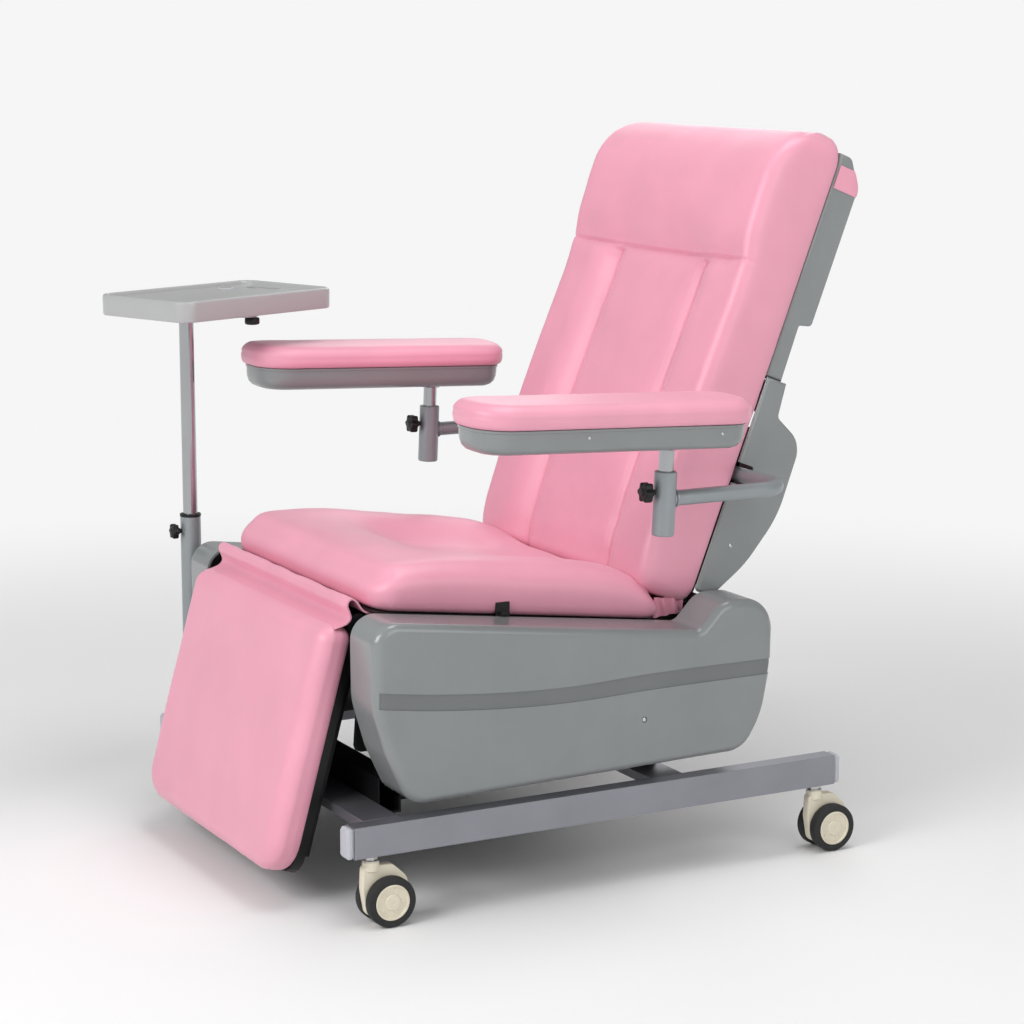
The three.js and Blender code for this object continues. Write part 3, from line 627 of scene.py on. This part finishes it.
def knee_web():
    """From under the seat's front edge, over a rolled crest and a valley, to the leg pad's top."""
    path = spline([(96, 463), (86, 465), (78, 472), (71, 482), (63, 488), (56, 485), (54, 477),
                   (58, 467), (60, 458), (55, 451), (48, 447.6), (40, 445.4), (32, 443.6)], 70)
    stretch("knee_web", web(path, 264, 2.6, 1.6, 90), ["knee_flap"])


GUSSET_X, GUSSET_FRONT, GUSSET_LOW, GUSSET_HIGH = 268.5, 606, 404, 436
GUSSET_PLEAT, GUSSET_HALF, GUSSET_ROWS, GUSSET_STEP = 3.6, 0.9, 40, 1.45


def gusset(side):
    """A small pleated panel that closes the end of the rear web."""
    rings = []
    for k in range(GUSSET_ROWS):
        run = k * GUSSET_STEP
        outer, inner = [], []
        for z in np.linspace(GUSSET_LOW - 2 + 0.08 * run, GUSSET_HIGH - 0.06 * run, 9):
            rise = z - GUSSET_LOW
            fold = GUSSET_PLEAT * math.sin(run / 3.1 + rise / 14) * (0.55 + rise / 60)
            for row, half in ((outer, GUSSET_HALF), (inner, -GUSSET_HALF)):
                row.append((SIDES[side] * (GUSSET_X + fold + half), GUSSET_FRONT + run, z))
        rings.append(outer + inner[::-1])
    return loft(rings)


def rear_web():
    """Between the seat's rear end and the foot of the back cushion."""
    path = spline([(611, 422), (617, 414.5), (626, 412), (636, 413), (645, 418), (650, 426)], 30)
    part = plus(web(path, 248, 2.4, 3.0, 110), *(gusset(side) for side in SIDES))
    stretch("rear_web", part, ())


# ---- moulded side covers; y and z in the chair's frame ----
COVER_IN, COVER_OUT, COVER_WALL, CUT_ROOM = 296, 385, 4, 5
COVER_ROUND, COVER_FRONT, FRONT_PART = 14, 17, 230
COVER_SCREW, SCREW_HOLE = (522, 266), 5
STRIPE_START, STRIPE_END = 52, 790
STRIPE_DEPTH, INLAY_TOP, INLAY_BASE, INLAY_GAP = 1.5, 1.4, 2.6, 0.2
COVER_OUTLINE = arcs([
    (43, 475, 38), (630, 401, 20), (672, 445, 44), (770, 442, 54), (768, 330, 150),
    (752, 246, 150), (716, 189, 52), (104, 179, 42), (66, 262, 120), (44, 338, 120)], 14)
STRIPE_Y = [20, 150, 245, 375, 530, 790]
STRIPE_LOW = curve(STRIPE_Y, [344, 326, 317, 311, 314, 315])
STRIPE_HIGH = curve(STRIPE_Y, [370, 352, 343, 337, 341, 341])


def stripe_band(gap, inner):
    """The stripe's outline, lower by gap at both edges, run from x = inner out past the cover."""
    ys = np.linspace(STRIPE_START, STRIPE_END, 40)
    bottom = [Vector((y, z + gap)) for y, z in zip(ys, STRIPE_LOW(ys))]
    top = [Vector((y, z - gap)) for y, z in zip(ys, STRIPE_HIGH(ys))]
    return prism(bottom + top[::-1], "X", inner, COVER_OUT + CUT_ROOM)


def cover_layer(depth, inner):
    """The cover's outside moved inwards by depth, from x = inner: a tight round along its edge,
    and a slightly wider one in front."""
    edge, front = COVER_ROUND - depth, COVER_FRONT - depth
    outline = inset(COVER_OUTLINE, depth)
    falls = [edge * (1 - math.cos(math.pi / 16 * k)) for k in range(9)]
    start = math.acos(1 - edge / front)
    falls += [front * (1 - math.cos(start + (math.pi / 2 - start) * k / 7)) for k in range(1, 8)]
    rings = []
    for fall in falls:
        tight = edge - math.sqrt(edge**2 - (edge - fall)**2) if fall < edge else 0.0
        wide = front - math.sqrt(max(front**2 - (front - fall)**2, 0.0)) if fall < front else 0.0
        rings.append([(COVER_OUT - depth - fall, q.x + (wide - tight if q.x < FRONT_PART else 0), q.y)
                      for q in inset(outline, tight)])
    rings.append([(inner, q.x, q.y) for q in outline])
    return loft(rings)


def side_cover(side):
    """A shell that is open towards the seat, with a recessed stripe and a darker inlay in it."""
    def tool(part, finish):
        return make("tool", *on_side(side, part), CHAIR, finish, None)

    cover = make(f"cover_{side}", *on_side(side, cover_layer(0, COVER_IN - 30)), CHAIR, "abs",
                 "base", [f"side_cover_{side}"])
    recess = tool(stripe_band(0, COVER_OUT - 74), "abs")
    carve(recess, CHAIR, on_side(side, cover_layer(STRIPE_DEPTH, COVER_IN - 30)))
    cut_by(cover, recess, "DIFFERENCE")
    hollow = cover_layer(COVER_WALL, COVER_IN - 40)
    open_side = prism(rect(0, 820, 150, 500, 0.1, 1), "X", COVER_IN - 60, COVER_IN)
    hole = prism(circle(SCREW_HOLE, 24, *COVER_SCREW), "X", COVER_OUT - 2, COVER_OUT + CUT_ROOM)
    carve(cover, CHAIR, *(on_side(side, part) for part in (hollow, open_side, hole)))

    inlay = make(f"cover_stripe_{side}", *on_side(side, cover_layer(INLAY_TOP, COVER_OUT - 73)),
                 CHAIR, "stripe", "base")
    cut_by(inlay, tool(stripe_band(INLAY_GAP, COVER_OUT - 80), "stripe"), "INTERSECT")
    carve(inlay, CHAIR, on_side(side, cover_layer(INLAY_BASE, COVER_IN - 30)))
    dress(inlay, "stripe")
    screw(f"cover_screw_{side}", CHAIR, (SIDES[side] * (COVER_OUT - 1.5), *COVER_SCREW),
          OUTWARD[side], "base", 4.2)


# ---- back shells; outlines as (height, distance in front of the pivot, radius) ----
UPPER_HALF, LOWER_HALF, UPPER_WALL, LOWER_WALL = 285, 291, 3.5, 4


def back_outline(points, steps=8):
    return arcs([(-t, s, r) for s, t, r in points], steps)


def upper_shell():
    skin = back_outline([(426, 18, 0), (816, 18, 0), (816, -6, 14), (772, -38, 34), (530, -38, 8),
                         (524, -14, 4), (426, -16, 0)])
    hollow = back_outline([(400, 15, 0), (812.5, 15, 0), (812.5, -6, 12), (770, -34.5, 32),
                           (534, -34.5, 4), (527.5, -10.5, 4), (400, -12.5, 0)])
    reach = UPPER_HALF - UPPER_WALL
    shell = make("back_panel_upper", *prism(skin, "X", -UPPER_HALF, UPPER_HALF, 5, 5), BACK, "abs",
                 "backrest", ["back_shell_upper"])
    carve(shell, BACK, prism(hollow, "X", -reach, reach))


def lower_shell():
    """It has a slot on each side for the arm bar, and its underside is open near the pivot."""
    skin = back_outline([(50, 18, 8), (425.5, 18, 0), (425.5, -24, 0), (368, -30, 10),
                         (342, -91, 44), (212, -94, 200), (120, -63, 200), (50, -19, 10)], 12)
    hollow = back_outline([(20, 30, 0), (440, 30, 0), (440, -20, 0), (372, -26, 8), (344, -87, 40),
                           (212, -90, 196), (122, -59, 196), (20, -2, 0)], 10)
    underside = back_outline([(0, -6, 0), (150, -6, 0), (150, -120, 0), (0, -120, 0)])
    reach = LOWER_HALF - LOWER_WALL
    shell = make("back_panel_lower", *prism(skin, "X", -LOWER_HALF, LOWER_HALF, 6, 6), BACK, "abs",
                 "backrest", ["back_shell_lower"])
    carve(shell, BACK, prism(hollow, "X", -reach, reach),
          prism(rect(-22, 14, 240, 276, 4), "X", -300, 300), prism(underside, "X", -250, 250))


# strap over the head of the back: a flat band that lies on the upper panel
PANEL_BACK = back_outline([(500, 18, 0), (816, 18, 0), (816, -6, 14), (772, -38, 34), (500, -38, 0)])
STRAP_LOW, STRAP_HIGH, STRAP_FRONT = 757.5, 797, -13
STRAP_OUT, STRAP_EDGE, STRAP_IN = 2.3, 1.3, 0.3


def panel_rear(height):
    """How far behind the pivot the upper panel's rear face is, at a height."""
    best = 0.0
    for p, q in zip(PANEL_BACK, PANEL_BACK[1:]):
        if min(p.y, q.y) <= height <= max(p.y, q.y) and abs(p.y - q.y) > 1e-6:
            best = max(best, p.x + (q.x - p.x) * (height - p.y) / (q.y - p.y))
    return best


def strap_ring(i, band):
    """One section of the strap: band is (height, distance off the panel) pairs."""
    ring = []
    for height, off in band:
        rear = panel_rear(height)
        loop = arcs([(-UPPER_HALF, STRAP_FRONT, 0), (-UPPER_HALF, rear, 6), (UPPER_HALF, rear, 6),
                     (UPPER_HALF, STRAP_FRONT, 0)], 6)
        a, b = loop[max(i - 1, 0)], loop[min(i + 1, len(loop) - 1)]
        along = (b - a).normalized()
        p = loop[i] + Vector((-along.y, along.x)) * off
        ring.append((p.x, p.y, height))
    return ring


def head_band():
    heights = np.linspace(STRAP_LOW, STRAP_HIGH, 9)
    band = [(s, STRAP_OUT if 0 < k < 8 else STRAP_EDGE) for k, s in enumerate(heights)]
    band += [(s, STRAP_IN) for s in heights[::-1]]
    strap = make("head_band", *loft([strap_ring(i, band) for i in range(16)]), BACK, "vinyl",
                 "backrest", ["head_strap"])


# ---- arms ----
SHELL_OUTLINE = arcs([(-66, -357, 54), (66, -357, 54), (66, 117, 38), (-66, 117, 38)], 12)
SHELL_LEVELS = ((84, 24), (84.6, 18), (88, 10), (94, 4), (103, 0.8), (112, 0), (119, 0),
                (119.6, -1.6), (123.2, -1.6), (123.8, -0.6))
ARM_X, BAR_R, BAR_BEND, BEND_STEPS = 418, 12.5, 45, 14
YOKE_Y = (pivot("arm_level") - CHAIR.translation).y / MM
YOKE_Z = pivot("arm_level").z / MM
LOBE_POINTS, LOBE_DEPTH = 12, 0.11


def arm_rest(side):
    """The shell under an arm pad with its two screws, and the post that it turns on."""
    rings = [[(p.x, p.y, z) for p in inset(SHELL_OUTLINE, d)] for z, d in SHELL_LEVELS]
    make(f"arm_shell_{side}", *loft(rings), ARM[side], "abs", f"armrest_{side}",
         [f"arm_tray_{side}"])
    for i, y in enumerate((-180, 60)):
        screw(f"arm_screw_{side}_{i}", ARM[side], (SIDES[side] * 65.6, y, 110), OUTWARD[side],
              f"armrest_{side}", 3.0)
    post = lathe([(0, -26), (11, -26), (12, -25), (12, 84), (12, 78), (17, 78.6), (19, 80),
                  (19, 84.2), (0, 84.2)], 48)
    make(f"arm_stem_{side}", *post, ARM[side], "chrome", f"post_{side}", [f"arm_post_{side}"])


def arm_tube():
    """The round bar from arm to arm, bent behind the back."""
    half = [Vector((ARM_X, y, YOKE_Z)) for y in (545, 600, 660, YOKE_Y - BAR_BEND)]
    for k in range(1, BEND_STEPS + 1):
        a = math.pi / 2 * k / BEND_STEPS
        half.append(Vector((ARM_X - BAR_BEND + BAR_BEND * math.cos(a),
                            YOKE_Y - BAR_BEND + BAR_BEND * math.sin(a), YOKE_Z)))
    half += [Vector((x, YOKE_Y, YOKE_Z)) for x in (300, 200, 100, 0)]
    path = half + [Vector((-p.x, p.y, p.z)) for p in reversed(half[:-1])]
    rings = []
    for i, p in enumerate(path):
        along = (path[min(i + 1, len(path) - 1)] - path[max(i - 1, 0)]).normalized()
        flat = Vector((-along.y, along.x, 0))
        rings.append([tuple(p + flat * q.x + Vector((0, 0, q.y))) for q in circle(BAR_R, 28)])
    make("arm_tube", *loft(rings), CHAIR, "tube", "arm_bar", ["arm_yoke"])


def arm_socket(side):
    socket = lathe([(12.5, -55), (12.5, 43.5), (13.2, 44), (16.6, 44), (18, 42.6), (18, -57),
                    (16.4, -59), (1, -59), (1, -55)], 48, loop=True)
    bead = lathe([(12.6, 16.5), (14.6, 17.2), (15, 19.5), (13.4, 21), (12.4, 21.6)], 36, "Y")
    make(f"arm_socket_{side}", *socket, ARM[side], "tube", "arm_bar")
    make(f"arm_bead_{side}", *bead, ARM[side], "tube", "arm_bar")


def arm_crank():
    """The lever that the level link holds, with its pin."""
    lever = prism(arcs([(YOKE_Y - 14, YOKE_Z + 12, 10), (YOKE_Y + 14, YOKE_Z + 12, 10),
                        (YOKE_Y + 6, YOKE_Z - 49, 8), (YOKE_Y - 16, YOKE_Z - 49, 8)], 6),
                  "X", 158, 166, 1, 1, 3)
    pin = lathe([(0, 146), (5, 146), (5, 160), (0, 160)], 20, "X")
    make("arm_crank", *plus(lever, moved(pin, 0, YOKE_Y - 5, YOKE_Z - 38)), CHAIR, "tube", "arm_bar")


def star_knob(name, r, lobes, deep, place, put, body, replaces):
    """A lobed grip with a raised cap and a hub; put turns its points into the place's frame."""
    count = lobes * LOBE_POINTS
    outline = []
    for i in range(count):
        a = 2 * math.pi * i / count
        reach = r * (1 - LOBE_DEPTH + LOBE_DEPTH * math.cos(lobes * a))
        outline.append(Vector((reach * math.cos(a), reach * math.sin(a))))
    grip = prism(outline, "Z", 0, deep, 3.2, 3.2, 5)
    cap = lathe([(0, -1.2), (r * 0.3, -1.2), (r * 0.42, -0.3), (r * 0.42, 0.6), (0, 0.6)], 32)
    hub = lathe([(0, deep - 1), (r * 0.45, deep - 1), (r * 0.4, deep + 3.5), (4, deep + 4),
                 (4, deep + 8), (0, deep + 8)], 32)
    make(name, *mapped(plus(grip, cap, hub), put), place, "plastic", body, replaces)


def arm_clamp(side):
    star_knob(f"arm_clamp_{side}", 17, 6, 15, ARM[side], lambda x, y, z: (x, -42 + z, y + 11),
              f"knob_{side}", [f"arm_knob_{side}"])


# ---- pole and tray ----
POLE_X, POLE_Y = (POLE.x - CHAIR.translation.x) / MM, (POLE.y - CHAIR.translation.y) / MM
CLAMP_Z, CLAMP_OFF = 484, 37
POLE_FOOT, POLE_TOP = 118, 512
SLEEVE_BORE, SLEEVE_R, ROD_R, ROD_TOP = 13.2, 18, 12.8, 885
TRAY_OUTLINE = rect(-113, 119, -109, 254, 30, 12)
TRAY_LEVELS = ((871.5, 5), (869.6, 3.4), (869, 2), (870, 0.9), (873, 0.3), (898, 0), (902.5, 0.6),
               (904.4, 2.4), (905, 4.6), (904.8, 7.2), (903.4, 9.4), (900.5, 10.8), (897.6, 12),
               (896.3, 14.2), (896, 17))
TRAY_HOLE, TRAY_FLOOR, TRAY_MARK = (-83, 172.5), 896, 893.6


def pole():
    """Clamp knob, outer tube with its collar and foot plate, and the inner tube."""
    star_knob("pole_clamp", 14, 6, 12, CHAIR,
              lambda x, y, z: (POLE_X + x, POLE_Y - CLAMP_OFF + z, y + CLAMP_Z), "pole_knob",
              ["pole_knob"])
    sleeve = lathe([(SLEEVE_BORE, 172), (SLEEVE_BORE, POLE_TOP - 1), (14, POLE_TOP),
                    (17.2, POLE_TOP), (SLEEVE_R, POLE_TOP - 0.8), (SLEEVE_R, POLE_FOOT + 1),
                    (17, POLE_FOOT), (1, POLE_FOOT), (1, 172)], 48, loop=True)
    make("pole_sleeve", *moved(sleeve, POLE_X, POLE_Y), CHAIR, "tube", "base", ["tray_pole_outer"])
    collar = lathe([(SLEEVE_BORE, 509), (SLEEVE_BORE, 514), (18, 514), (18.8, 513.2),
                    (18.8, 509.6), (18.2, 509)], 48, loop=True)
    make("pole_collar", *moved(collar, POLE_X, POLE_Y), CHAIR, "plastic", "base")
    foot = prism(rect(POLE_Y - 30, POLE_Y + 30, 119, 157, 5), "X", -408, -400.4, 1, 1, 3)
    make("pole_foot", *foot, CHAIR, "tube", "base")
    for i, y in enumerate((POLE_Y - 23, POLE_Y + 23)):
        screw(f"pole_foot_bolt_{i}", CHAIR, (-408, y, 138), "-X", "base", 5.5)
    rod = lathe([(0, 262), (12, 262), (ROD_R, 263), (ROD_R, ROD_TOP - 1), (12, ROD_TOP),
                 (0, ROD_TOP)], 48)
    make("pole_rod", *moved(rod, POLE_X, POLE_Y), CHAIR, "chrome", "pole", ["tray_pole_inner"])


def tray_top():
    """A dished tray with a cable hole, two shallow recesses, and a hollow underside."""
    rings = [[(p.x, p.y, z) for p in inset(TRAY_OUTLINE, d)] for z, d in TRAY_LEVELS]
    tray = make("tray_top", *loft(rings), TRAY, "tray", "tray", ["tray"])
    carve(tray, TRAY, prism(circle(11, 36, *TRAY_HOLE), "Z", 860, 910),
          prism(rect(-70, 0, 203, 235, 6), "Z", TRAY_MARK, 910),
          prism(rect(60, 92, -70, 20, 6), "Z", TRAY_MARK, 910),
          prism(rect(-108, 114, -104, 249, 26, 8), "Z", 866, 876))
    grommet = lathe([(11.2, TRAY_FLOOR), (11.2, 897.4), (13.4, 897.4), (14.6, 896.2),
                     (14.6, 895.5), (11.2, 895.5)], 36, loop=True)
    make("tray_grommet", *moved(grommet, *TRAY_HOLE), TRAY, "cap", "tray")


def tray_arm():
    """The hub and plate that carry the tray, and the knob under it."""
    hub = lathe([(15, 858), (24, 858), (25, 859), (25, 868), (24, 869), (24, 875.5), (15, 875.5)],
                40, loop=True)
    plate = prism(arcs([(-20, -14, 8), (20, -22, 8), (118, 52, 14), (98, 86, 14), (-16, 22, 8)], 8),
                  "Z", 866, 875.6, 2, 0, 3)
    make("tray_arm", *plus(hub, plate), TRAY, "tube", "tray", ["tray_bracket"])
    lock = lathe([(0, 852), (9, 852), (12, 853), (13, 855), (13, 862), (12, 864), (5, 864),
                  (5, 872), (0, 872)], 40)
    make("tray_lock", *moved(lock, 98, 66), TRAY, "plastic", "tray_knob", ["tray_knob"])


# ---- casters; profiles are (radius, distance from the middle) of one of the two wheels ----
TYRE = [(27, 10), (37.6, 10), (39.4, 11), (40, 13), (40, 24), (39.4, 26), (37.8, 27.2),
        (33, 27.6), (30, 27.4), (29, 26.4), (27, 25)]
HUB = [(0, 9.4), (27.5, 9.4), (27.5, 26), (28.6, 26.9), (27.6, 27.6), (25.4, 27.6),
       (24.6, 26.6), (24, 25.2), (13.6, 24.8), (12.6, 26.8), (11.6, 27.8), (4, 28.2),
       (3.2, 27.4), (0, 27.2)]
SPOKES, SPOKE_IN, SPOKE_OUT = 5, 24, 26.2
THREAD_R, THREAD_ROOT, THREAD_PITCH, THREAD_TURNS = 5.5, 4.9, 1.5, 24


def twin(profile, loop):
    return plus(*(lathe([(r, h * flip) for r, h in profile], 56, "X", loop) for flip in (1, -1)))


def spoke(turn, flip):
    """A low rib on a hub's face, from its middle to its rim."""
    lo, hi = sorted((SPOKE_IN * flip, SPOKE_OUT * flip))
    bar = prism(rect(12, 25, -2.2, 2.2, 1.4, 3), "X", lo, hi, 0.4, 0.4, 2)
    return mapped(bar, lambda x, y, z: (x, y * math.cos(turn) - z * math.sin(turn),
                                        y * math.sin(turn) + z * math.cos(turn)))


def caster(corner):
    hub_at = (pivot(f"caster_roll_{corner}") - CHAIR.translation) / MM
    stem_at = (pivot(f"caster_swivel_{corner}") - CHAIR.translation) / MM
    make(f"tyres_{corner}", *moved(twin(TYRE, True), *hub_at), CHAIR, "tyre", f"wheels_{corner}",
         [f"caster_wheels_{corner}"])
    spokes = [spoke(2 * math.pi * k / SPOKES, flip) for k in range(SPOKES) for flip in (1, -1)]
    axle = lathe([(0, -9.5), (5, -9.5), (5, 9.5), (0, 9.5)], 24, "X")
    make(f"hubs_{corner}", *moved(plus(twin(HUB, False), axle, *spokes), *hub_at), CHAIR, "ivory",
         f"wheels_{corner}")
    hood = prism(arcs([(-15, 98, 7), (34, 96, 14), (60, 72, 22), (62, 36, 22), (25, 6, 20),
                       (-10, 18, 16), (-17, 60, 20)], 8), "X", -8, 8, 2, 2, 3)
    boss = lathe([(0, 88), (11, 88), (13.5, 90), (13.5, 103), (12, 104.6), (0, 104.6)], 36)
    make(f"hood_{corner}", *moved(plus(hood, boss), stem_at.x, stem_at.y), CHAIR, "ivory",
         f"swivel_{corner}", [f"caster_hood_{corner}"])
    nut = prism(circle(11, 6), "Z", 105, 112.7, 1.2, 1.2, 3)
    washer = lathe([(0, 104.7), (12.4, 104.7), (12.4, 105.6), (0, 105.6)], 36)
    thread = [(THREAD_R, 112.5)]
    for k in range(THREAD_TURNS):
        thread += [(THREAD_R, 112.6 + THREAD_PITCH * k), (THREAD_ROOT, 113.3 + THREAD_PITCH * k)]
    bolt = lathe([(0, 104.8), (THREAD_R, 104.8)] + thread + [(0, 150)], 20)
    make(f"stem_{corner}", *moved(plus(nut, washer, bolt), stem_at.x, stem_at.y), CHAIR, "steel",
         "base", [f"caster_stem_{corner}"])


# ---- CAD nodes whose shape is right keep it, with bevelled edges and a finish ----
KEPT = {
    "rail": ["base_rail_left", "base_rail_right", "base_cross_front", "base_cross_rear"],
    "cap": [f"rail_cap_{corner}" for corner in CORNERS],
    "black": ["lower_frame", "seat_frame", "leg_frame", "back_frame"],
    "plastic": ["control_box", "handset_hook", "leg_drive", "back_drive", "leg_board"],
    "steel": ["level_link", "leg_drive_rod", "back_drive_rod"],
}
BOLD = ("rail", "cap")


def dress_kept(obj, finish):
    cover_with(obj, FINISH[finish][0])
    weld = obj.modifiers.new("weld", "WELD")
    weld.merge_threshold = 1e-5
    bevel = obj.modifiers.new("edges", "BEVEL")
    bevel.width, bevel.segments = (0.0014, 3) if finish in BOLD else (0.0008, 2)
    bevel.limit_method, bevel.angle_limit = "ANGLE", math.radians(40)
    even = obj.modifiers.new("normals", "WEIGHTED_NORMAL")
    even.mode, even.weight = "FACE_AREA", 100


# ---- floor, light and camera; sizes in metres ----
FLOOR_HALF, FLOOR_DROP, FADE_FROM, FADE_TO = 30.0, 0.0006, 0.9, 3.2
WHITE, BACKDROP, SKY_LIGHT = (1, 1, 1, 1), 0.92, 0.36
AIM = (0, 0, 0.6)
LAMPS = {    # place, power, width and height
    "key": ((1.0, -3.3, 2.3), 76, 2.0, 1.6),
    "fill": ((3.2, 0.6, 1.7), 25, 2.2, 1.8),
    "top": ((0.5, 0.3, 3.4), 37, 2.0, 1.2),
    "rim": ((-2.8, 1.8, 2.2), 14, 1.6, 1.6),
}
AZIMUTH, ELEVATION, LENS, SENSOR = math.radians(61.839), math.radians(10.346), 93.7, 36.0
CAMERA_AT = (3.9551, -1.6315, 1.3664)


def floor_material():
    """Plain and pale under the chair, fading to the backdrop's brightness further out."""
    mat = bpy.data.materials.new("floor")
    mat.use_nodes = True
    nodes, links = mat.node_tree.nodes, mat.node_tree.links
    shader = nodes["Principled BSDF"]
    shader.inputs["Base Color"].default_value = (0.9, 0.9, 0.9, 1)
    shader.inputs["Roughness"].default_value = 0.75
    where = nodes.new("ShaderNodeTexCoord")
    reach = nodes.new("ShaderNodeVectorMath")
    reach.operation = "LENGTH"
    links.new(where.outputs["Object"], reach.inputs[0])
    fade = nodes.new("ShaderNodeMapRange")
    fade.interpolation_type = "SMOOTHSTEP"
    fade.inputs["From Min"].default_value = FADE_FROM
    fade.inputs["From Max"].default_value = FADE_TO
    links.new(reach.outputs["Value"], fade.inputs["Value"])
    glow = nodes.new("ShaderNodeEmission")
    glow.inputs["Color"].default_value = WHITE
    glow.inputs["Strength"].default_value = BACKDROP
    mixed = nodes.new("ShaderNodeMixShader")
    links.new(fade.outputs["Result"], mixed.inputs[0])
    links.new(shader.outputs["BSDF"], mixed.inputs[1])
    links.new(glow.outputs["Emission"], mixed.inputs[2])
    links.new(mixed.outputs["Shader"], nodes["Material Output"].inputs["Surface"])
    return mat


def floor():
    mesh = bpy.data.meshes.new("floor")
    corners = ((-1, -1), (1, -1), (1, 1), (-1, 1))
    mesh.from_pydata([(x * FLOOR_HALF, y * FLOOR_HALF, -FLOOR_DROP) for x, y in corners], [],
                     [(0, 1, 2, 3)])
    mesh.materials.append(floor_material())
    obj = bpy.data.objects.new("floor", mesh)
    bpy.context.scene.collection.objects.link(obj)


def studio():
    """A world that lights the chair softly, and is brighter where the camera sees it directly."""
    world = bpy.data.worlds.new("studio")
    bpy.context.scene.world = world
    world.use_nodes = True
    nodes, links = world.node_tree.nodes, world.node_tree.links
    soft = nodes["Background"]
    seen_sky = nodes.new("ShaderNodeBackground")
    for background, strength in ((soft, SKY_LIGHT), (seen_sky, BACKDROP)):
        background.inputs["Color"].default_value = WHITE
        background.inputs["Strength"].default_value = strength
    ray = nodes.new("ShaderNodeLightPath")
    choose = nodes.new("ShaderNodeMixShader")
    links.new(ray.outputs["Is Camera Ray"], choose.inputs[0])
    links.new(soft.outputs["Background"], choose.inputs[1])
    links.new(seen_sky.outputs["Background"], choose.inputs[2])
    links.new(choose.outputs["Shader"], nodes["World Output"].inputs["Surface"])


def lamp(name, place, power, width, height):
    light = bpy.data.lights.new(name, "AREA")
    light.shape, light.size, light.size_y, light.energy = "RECTANGLE", width, height, power
    obj = bpy.data.objects.new(name, light)
    obj.location = place
    obj.rotation_mode = "QUATERNION"
    obj.rotation_quaternion = (Vector(AIM) - Vector(place)).to_track_quat("-Z", "Y")
    bpy.context.scene.collection.objects.link(obj)


def camera():
    data = bpy.data.cameras.new("camera")
    data.lens, data.sensor_width = LENS, SENSOR
    data.clip_start, data.clip_end = 0.05, 60
    obj = bpy.data.objects.new("camera", data)
    bpy.context.scene.collection.objects.link(obj)
    towards = -Vector((math.sin(AZIMUTH) * math.cos(ELEVATION),
                       -math.cos(AZIMUTH) * math.cos(ELEVATION), math.sin(ELEVATION)))
    obj.location = CHAIR @ Vector(CAMERA_AT)
    obj.rotation_mode = "QUATERNION"
    obj.rotation_quaternion = towards.to_track_quat("-Z", "Y")
    bpy.context.scene.camera = obj


# ---- build ----
seat_pad()
back_pad()
leg_pad()
for side in SIDES:
    arm_pad(side)
knee_web()
rear_web()
for side in SIDES:
    side_cover(side)
upper_shell()
lower_shell()
for side in SIDES:
    screw(f"back_screw_{side}", BACK, (SIDES[side] * LOWER_HALF, 20, 140), OUTWARD[side],
          "backrest", 3.6)
head_band()
for side in SIDES:
    arm_rest(side)
arm_tube()
for side in SIDES:
    arm_socket(side)
arm_crank()
for side in SIDES:
    arm_clamp(side)
pole()
tray_top()
tray_arm()
for corner in CORNERS:
    caster(corner)
for finish, names in KEPT.items():
    for name in names:
        dress_kept(frame["nodes"][name], finish)

floor()
studio()
for name, (place, power, width, height) in LAMPS.items():
    lamp(name, place, power, width, height)
camera()
bpy.context.scene.view_settings.view_transform = "Standard"
